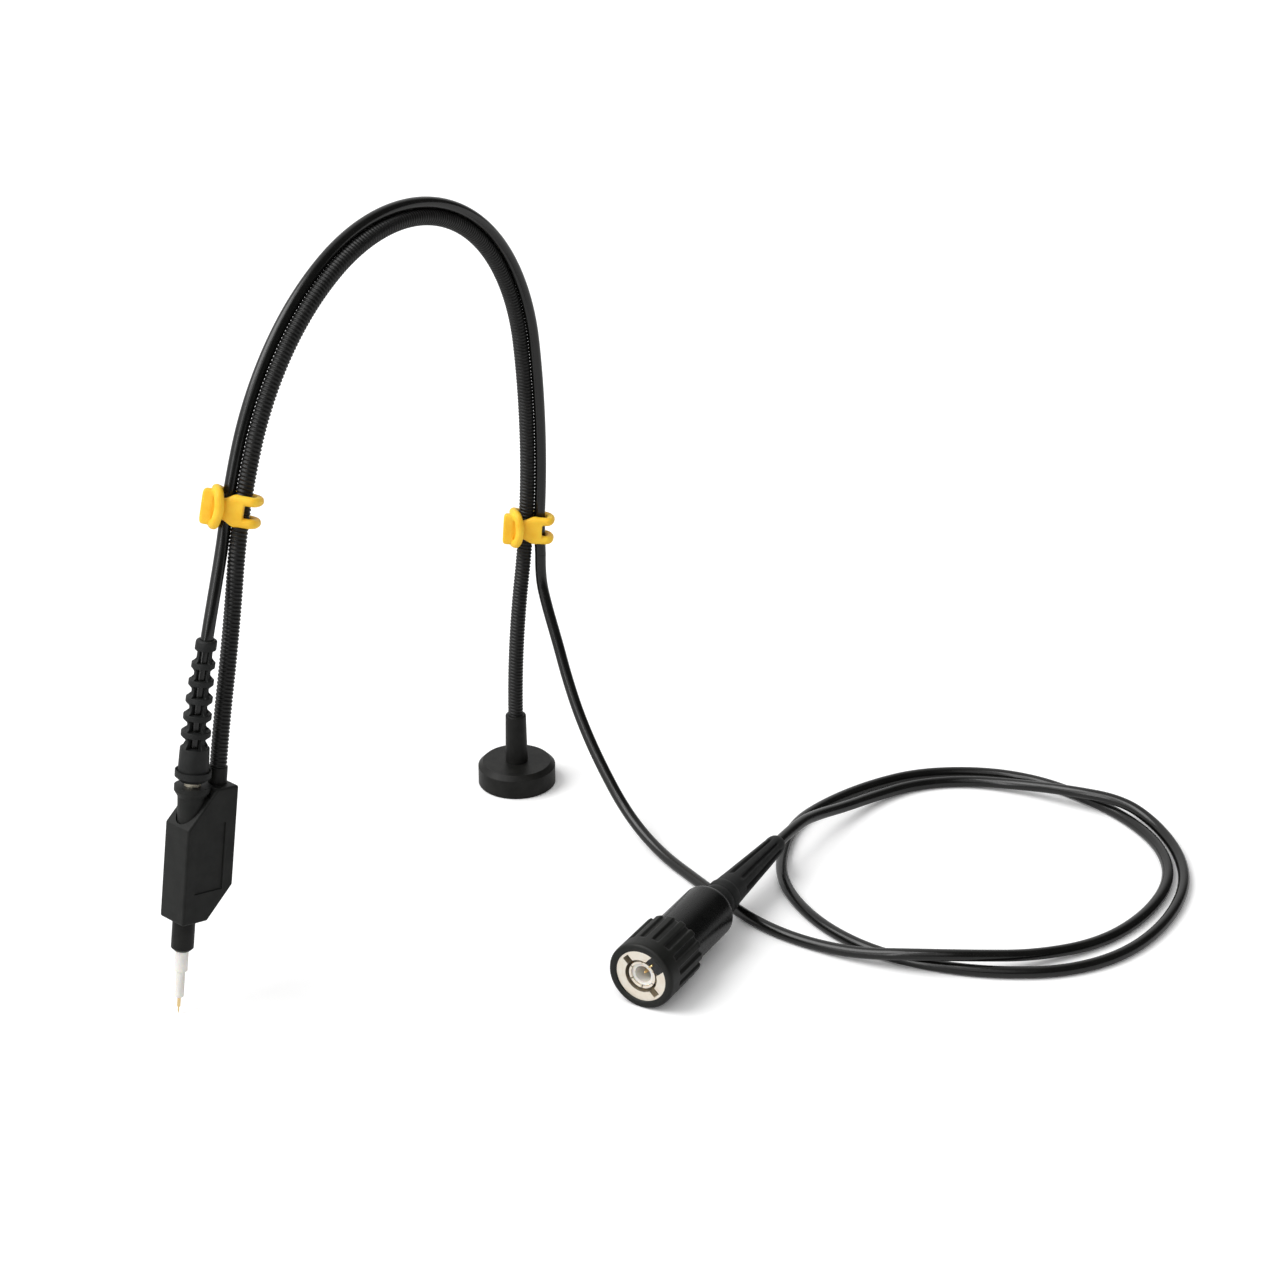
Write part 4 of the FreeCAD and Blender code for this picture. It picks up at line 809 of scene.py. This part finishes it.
def shellDepth(turn, height, radius):
    outside = radius > shellSet["outer"] - 1.2
    along = smoothStep((height - shellSet["grooveStart"]) / 1.1)
    count = shellSet["grooves"]
    grooves = wave(turn + np.pi / count, count, shellSet["grooveShare"], shellSet["grooveEdge"])
    return outside * along * shellSet["grooveDepth"] * grooves


def makeShell():
    # profile from the bore round the front's soft edge, along the outside and in through the rear wall
    outer, bore, neck = shellSet["outer"], shellSet["bore"], shellSet["neck"]
    length, step = shellSet["length"], shellSet["step"]
    profile = [
        (bore, 8.0), (bore, 0.25), (bore + 0.25, 0.0), (outer - 0.7, 0.0), (outer - 0.25, 0.18),
        (outer - 0.04, 0.6), (outer, 1.2),
        *((outer, height) for height in np.linspace(2.5, length - 0.7, 34)),
        (outer - 0.12, length - 0.3), (outer - 0.45, length - 0.05), (outer - 0.9, length),
        (neck + 0.3, length), (neck, length - 0.2), (neck, step + 0.2), (neck + 0.1, step + 0.05),
        (bore - 0.15, step), (bore, step - 0.15),
    ]
    return turnedSurface(plugPlace, profile, shellSet["columns"], shellDepth)


makePiece("couplingShell", *makeShell(), "couplingBlack", body="coupling", slot="coupling_black",
          replaced=["coupling_shell"])

plugBoot = {
    "stem": 3.1,
    "collar": 5.15,
    "shoulder": 4.8,
    "tip": 3.15,
    "start": 41.2,
    "rings": (43.6, 46.2),  # where the two thin rings of the collar start
    "cone": 50.8,
    "coneEnd": 80.5,
    "endRound": [(0.03, 1.1), (0.15, 2.2), (0.4, 3.1), (0.8, 3.8), (1.15, 4.2), (1.35, 4.35),
                 (1.55, 4.1)],  # how much thinner, and how far past the cone's end
    "grooves": 8,
    "grooveShare": 0.3,
    "grooveEdge": 0.08,
    "grooveStart": 54.0,
    "grooveEnd": 80.0,
    "grooveDepth": 0.85,
    "turn": 0.12,  # radians
    "columns": 144,
}


def plugBootDepth(turn, height, radius):
    # grooves that start in a point, widen, and end in a round
    into = smoothStep((height - plugBoot["grooveStart"]) / 3.5)
    out = smoothStep((plugBoot["grooveEnd"] + 0.9 - height) / 1.6)
    grooves = wave(turn + plugBoot["turn"], plugBoot["grooves"], plugBoot["grooveShare"],
                   plugBoot["grooveEdge"])
    return into * out * plugBoot["grooveDepth"] * grooves


def makePlugBoot():
    # profile: stem inside the plug, collar with two thin rings, long cone and rounded end
    stem, collar, shoulder, tip = (plugBoot[key] for key in ("stem", "collar", "shoulder", "tip"))
    start, cone, coneEnd = (plugBoot[key] for key in ("start", "cone", "coneEnd"))
    profile = [(0, start - 3), (stem - 0.3, start - 3), (stem, start - 2.7), (stem, start),
               (collar - 0.35, start + 0.02), (collar, start + 0.35)]
    for ring in plugBoot["rings"]:
        profile += [(collar, ring), (collar - 0.2, ring + 0.2),
                    (collar - 0.2, ring + 0.5), (collar, ring + 0.7)]
    profile += [(collar, cone - 1.2), (collar - 0.08, cone - 0.9), (shoulder, cone - 0.5)]
    heights = np.linspace(cone, coneEnd, 70)
    profile += zip(np.interp(heights, [cone, coneEnd], [shoulder, tip]), heights)
    profile += [(tip - thinner, coneEnd + past) for thinner, past in plugBoot["endRound"]]
    profile.append((0, profile[-1][1]))
    return turnedSurface(plugPlace, profile, plugBoot["columns"], plugBootDepth)


makePiece("plugBootGrooved", *makePlugBoot(), "bootRubber", body="stand", slot="boot_rubber",
          replaced=["plug_boot"])

washerSet = {
    "inner": 4.2,
    "outer": 4.74,
    "middle": 10.74,
    "thick": 0.16,
    "wave": 0.16,
    "waves": 3,
    "teeth": 44,
    "tooth": 0.12,
    "columns": 352,
}


def makeWasher():
    # a flat ring that waves up and down, with a toothed outer edge
    turn = np.linspace(0, 2 * np.pi, washerSet["columns"], endpoint=False)
    rise = washerSet["middle"] + washerSet["wave"] * np.sin(turn * washerSet["waves"])
    inTooth = np.abs((turn * washerSet["teeth"] / (2 * np.pi)) % 1 - 0.5)
    outer = washerSet["outer"] - washerSet["tooth"] * smoothStep(inTooth * 4 - 0.5)
    inner, half = np.full_like(turn, washerSet["inner"]), washerSet["thick"] / 2
    loops = [np.stack([radius * np.cos(turn), radius * np.sin(turn), rise + lift], axis=1)
             for radius, lift in ((inner, -half), (outer, -half), (outer, half), (inner, half))]
    return placed(plugPlace, np.concatenate(loops + loops[:1])), gridQuads(5, len(turn))


makePiece("waveWasher", *makeWasher(), "contactGold", body="stand", slot="contact_gold",
          replaced=["wave_washer"])

# block of the readout contact, set into the coupling's ring
blockSet = {
    "turn": -45,
    "half": 2.5,
    "inner": 4.85,
    "outer": 7.7,
    "front": 0.05,
    "rear": 6.3,
}


def makeBlock():
    # a bar with soft faces, made along X and then stood along the plug
    inset = np.array([0, 0.06, 0.18, 0.4])
    depths = np.concatenate([blockSet["front"] + inset, blockSet["rear"] - inset[::-1]])
    size = np.array([0.86, 0.94, 0.985, 1.0, 1.0, 0.985, 0.94, 0.86])
    middle = (blockSet["outer"] + blockSet["inner"]) / 2
    halfReach = (blockSet["outer"] - blockSet["inner"]) / 2
    points, quads = roundedBar(depths, size * blockSet["half"], size * halfReach, np.full(8, middle),
                               power=9.0)
    points = points[:, [2, 1, 0]] @ turnAbout("Z", blockSet["turn"]).T
    return placed(plugPlace, points), quads


makePiece("readoutBlock", *makeBlock(), "darkPart", body="coupling", slot="component_dark",
          replaced=["readout_block"])

# pin of the plug: a pointed gold pin in the white insulator
pinSet = {"radius": 0.675, "point": 2.4, "end": 26.0}


def makePin():
    radius, point, end = pinSet["radius"], pinSet["point"], pinSet["end"]
    profile = [(0, point), (0.14, point + 0.02), (0.3, point + 0.2), (radius - 0.055, point + 1.5),
               (radius, point + 1.9), (radius, 12), (radius, end - 0.2), (radius - 0.075, end), (0, end)]
    return turnedSurface(plugPlace, profile, 32)


makePiece("plugPinPointed", *makePin(), "contactGold", body="stand", slot="contact_gold",
          replaced=["plug_pin"])
print("plug dressed")

# Spring inside the needle's barrel: a helix of wire, drawn at its full length

springSet = {
    "radius": 0.42,
    "wire": 0.07,  # radius of its wire
    "turns": 16,
    "low": -54.85,
    "high": -45.05,
    "keep": 0.848,  # share of its length that is left when the needle is in
}


def makeSpring():
    # wire along a helix: x and y go round as the height rises evenly
    radius, wire = springSet["radius"], springSet["wire"]
    turn = np.linspace(0, springSet["turns"] * 2 * np.pi, springSet["turns"] * 20)
    height = np.linspace(springSet["low"] + wire, springSet["high"] - wire, len(turn))
    line = np.stack([radius * np.cos(turn), radius * np.sin(turn), height], axis=1)
    first, second = acrossOf(line, np.array([0.0, 0.0, 1.0]))
    return tube(placed(needlePlace, line), first @ headTurn.T, second @ headTurn.T,
                np.full((len(line), 8), wire * mm))


spring = makePiece("needleSpring", *makeSpring(), "springSteel", body="probe", slot="spring_steel",
                   replaced=["needle_spring"])
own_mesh(spring)

# CAD nodes that show keep their shape and take a finish

finishes = {
    "footMetal": ["base_shell"],
    "magnetNickel": ["base_magnet"],
    "socketBlack": ["neck_socket", "neck_ferrule", "nose_collar"],
    "housingPlastic": ["housing_body", "housing_cover", "cable_socket"],
    "bootRubber": ["cable_grip"],
    "contactGold": ["needle_barrel", "needle_plunger", "readout_pin"],
    "paleGold": ["cable_contact"],
    "insulatorWhite": ["tip_insulator", "plug_insulator"],
    "plugBodyBlack": ["plug_body"],
    "nickel": ["bayonet_ring", "plug_outer_contact", "plug_core"],
    "springSteel": ["retaining_ring", "plug_clamp"],
    "boardGreen": ["input_board", "plug_board"],
    "darkPart": ["input_resistor", "input_capacitor", "plug_trimmer"],
}
for look, names in finishes.items():
    for name in names:
        for place in nodes[name].material_slots:
            place.material = materials[look]
print("CAD nodes finished")

# Floor, light and background

stageSet = {
    "floorSize": 12.0,  # metres
    "floorColour": 0.82,
    "floorSeen": 1.1,  # colour for what the camera sees, so that the lit floor is white
    "floorMirrored": 0.70,  # and for what the object's surfaces reflect
    "sky": 0.55,
    "skyMirrored": (0.9, 0.06),  # what reflections see of the sky towards the left and the right
    "mirrorEdge": (-0.32, 0.22),  # part of the ray along Y where the one ends and the other begins
    "strip": 5.0,  # an upright strip light in the reflections
    "stripTowards": (0.9986, -0.052, 0.0),
    "stripWidth": 0.08,
    "suns": [
        # name, energy, disc in degrees, where it stands
        ("keySun", 1.7, 42, (0.50, -0.62, 1.0)),
        ("fillSun", 0.9, 70, (0.85, -0.05, 0.75)),
    ],
}


def byRay(tree, matt, mirrored, seen):
    # one number for matt surfaces, another for reflections and a third for the camera
    path = addNode(tree, "ShaderNodeLightPath")
    for ray, other in (("Is Glossy Ray", mirrored), ("Is Camera Ray", seen)):
        choice = addNode(tree, "ShaderNodeMix", data_type="FLOAT")
        for socket, source in zip(choice.inputs[:4], (path.outputs[ray], None, matt, other)):
            if isinstance(source, float):
                socket.default_value = source
            elif source is not None:
                tree.links.new(source, socket)
        matt = choice.outputs[0]
    return matt


def mirroredSky(tree):
    # what reflections see: bright on the left, dark on the right, and an upright strip light
    ray = addNode(tree, "ShaderNodeTexCoord").outputs["Generated"]
    split = addNode(tree, "ShaderNodeSeparateXYZ")
    tree.links.new(ray, split.inputs["Vector"])
    base = ramp(tree, split.outputs["Y"], *stageSet["mirrorEdge"], *stageSet["skyMirrored"])
    x, y, z = stageSet["stripTowards"]
    parts = []
    for way in ((x, y, z), (-y, x, z)):
        part = addNode(tree, "ShaderNodeVectorMath", operation="DOT_PRODUCT")
        tree.links.new(ray, part.inputs[0])
        part.inputs[1].default_value = way
        parts.append(part.outputs["Value"])
    aside = addNode(tree, "ShaderNodeMath", operation="ABSOLUTE")
    tree.links.new(parts[1], aside.inputs[0])
    width = stageSet["stripWidth"]
    strip = ramp(tree, aside.outputs[0], width / 2, width, stageSet["strip"], 0)
    ahead = ramp(tree, parts[0], 0.1, 0.3, 0, 1)
    both = addNode(tree, "ShaderNodeMath", operation="MULTIPLY_ADD")
    for socket, source in zip(both.inputs, (strip, ahead, base)):
        tree.links.new(source, socket)
    return both.outputs[0]


def makeFloor():
    size = stageSet["floorSize"]
    corners = [(-size, -size, 0), (size, -size, 0), (size, size, 0), (-size, size, 0)]
    mesh = bpy.data.meshes.new("floor")
    mesh.from_pydata(corners, [], [(0, 1, 2, 3)])
    material, tree, shader = newMaterial("floorWhite")
    tree.nodes.remove(shader)
    matt = addNode(tree, "ShaderNodeBsdfDiffuse")
    tone = byRay(tree, stageSet["floorColour"], stageSet["floorMirrored"], stageSet["floorSeen"])
    tree.links.new(tone, matt.inputs["Color"])
    tree.links.new(matt.outputs["BSDF"], tree.nodes["Material Output"].inputs["Surface"])
    mesh.materials.append(material)
    floor = bpy.data.objects.new("floor", mesh)
    bpy.context.collection.objects.link(floor)


def makeSky():
    world = bpy.data.worlds.new("sky")
    world.use_nodes = True
    world.cycles.sampling_method = "NONE"
    bpy.context.scene.world = world
    tree = world.node_tree
    light = tree.nodes["Background"]
    light.inputs["Color"].default_value = (1, 1, 1, 1)
    tree.links.new(byRay(tree, stageSet["sky"], mirroredSky(tree), 1.0), light.inputs["Strength"])


def makeSun(name, energy, disc, place):
    sun = bpy.data.lights.new(name, "SUN")
    sun.energy = energy
    sun.angle = math.radians(disc)
    lamp = bpy.data.objects.new(name, sun)
    lamp.rotation_euler = Vector(place).to_track_quat("Z", "Y").to_euler()
    bpy.context.collection.objects.link(lamp)


makeFloor()
makeSky()
for sunSet in stageSet["suns"]:
    makeSun(*sunSet)
bpy.context.scene.view_settings.view_transform = "Standard"
print("stage set")

bpy.context.view_layer.update()
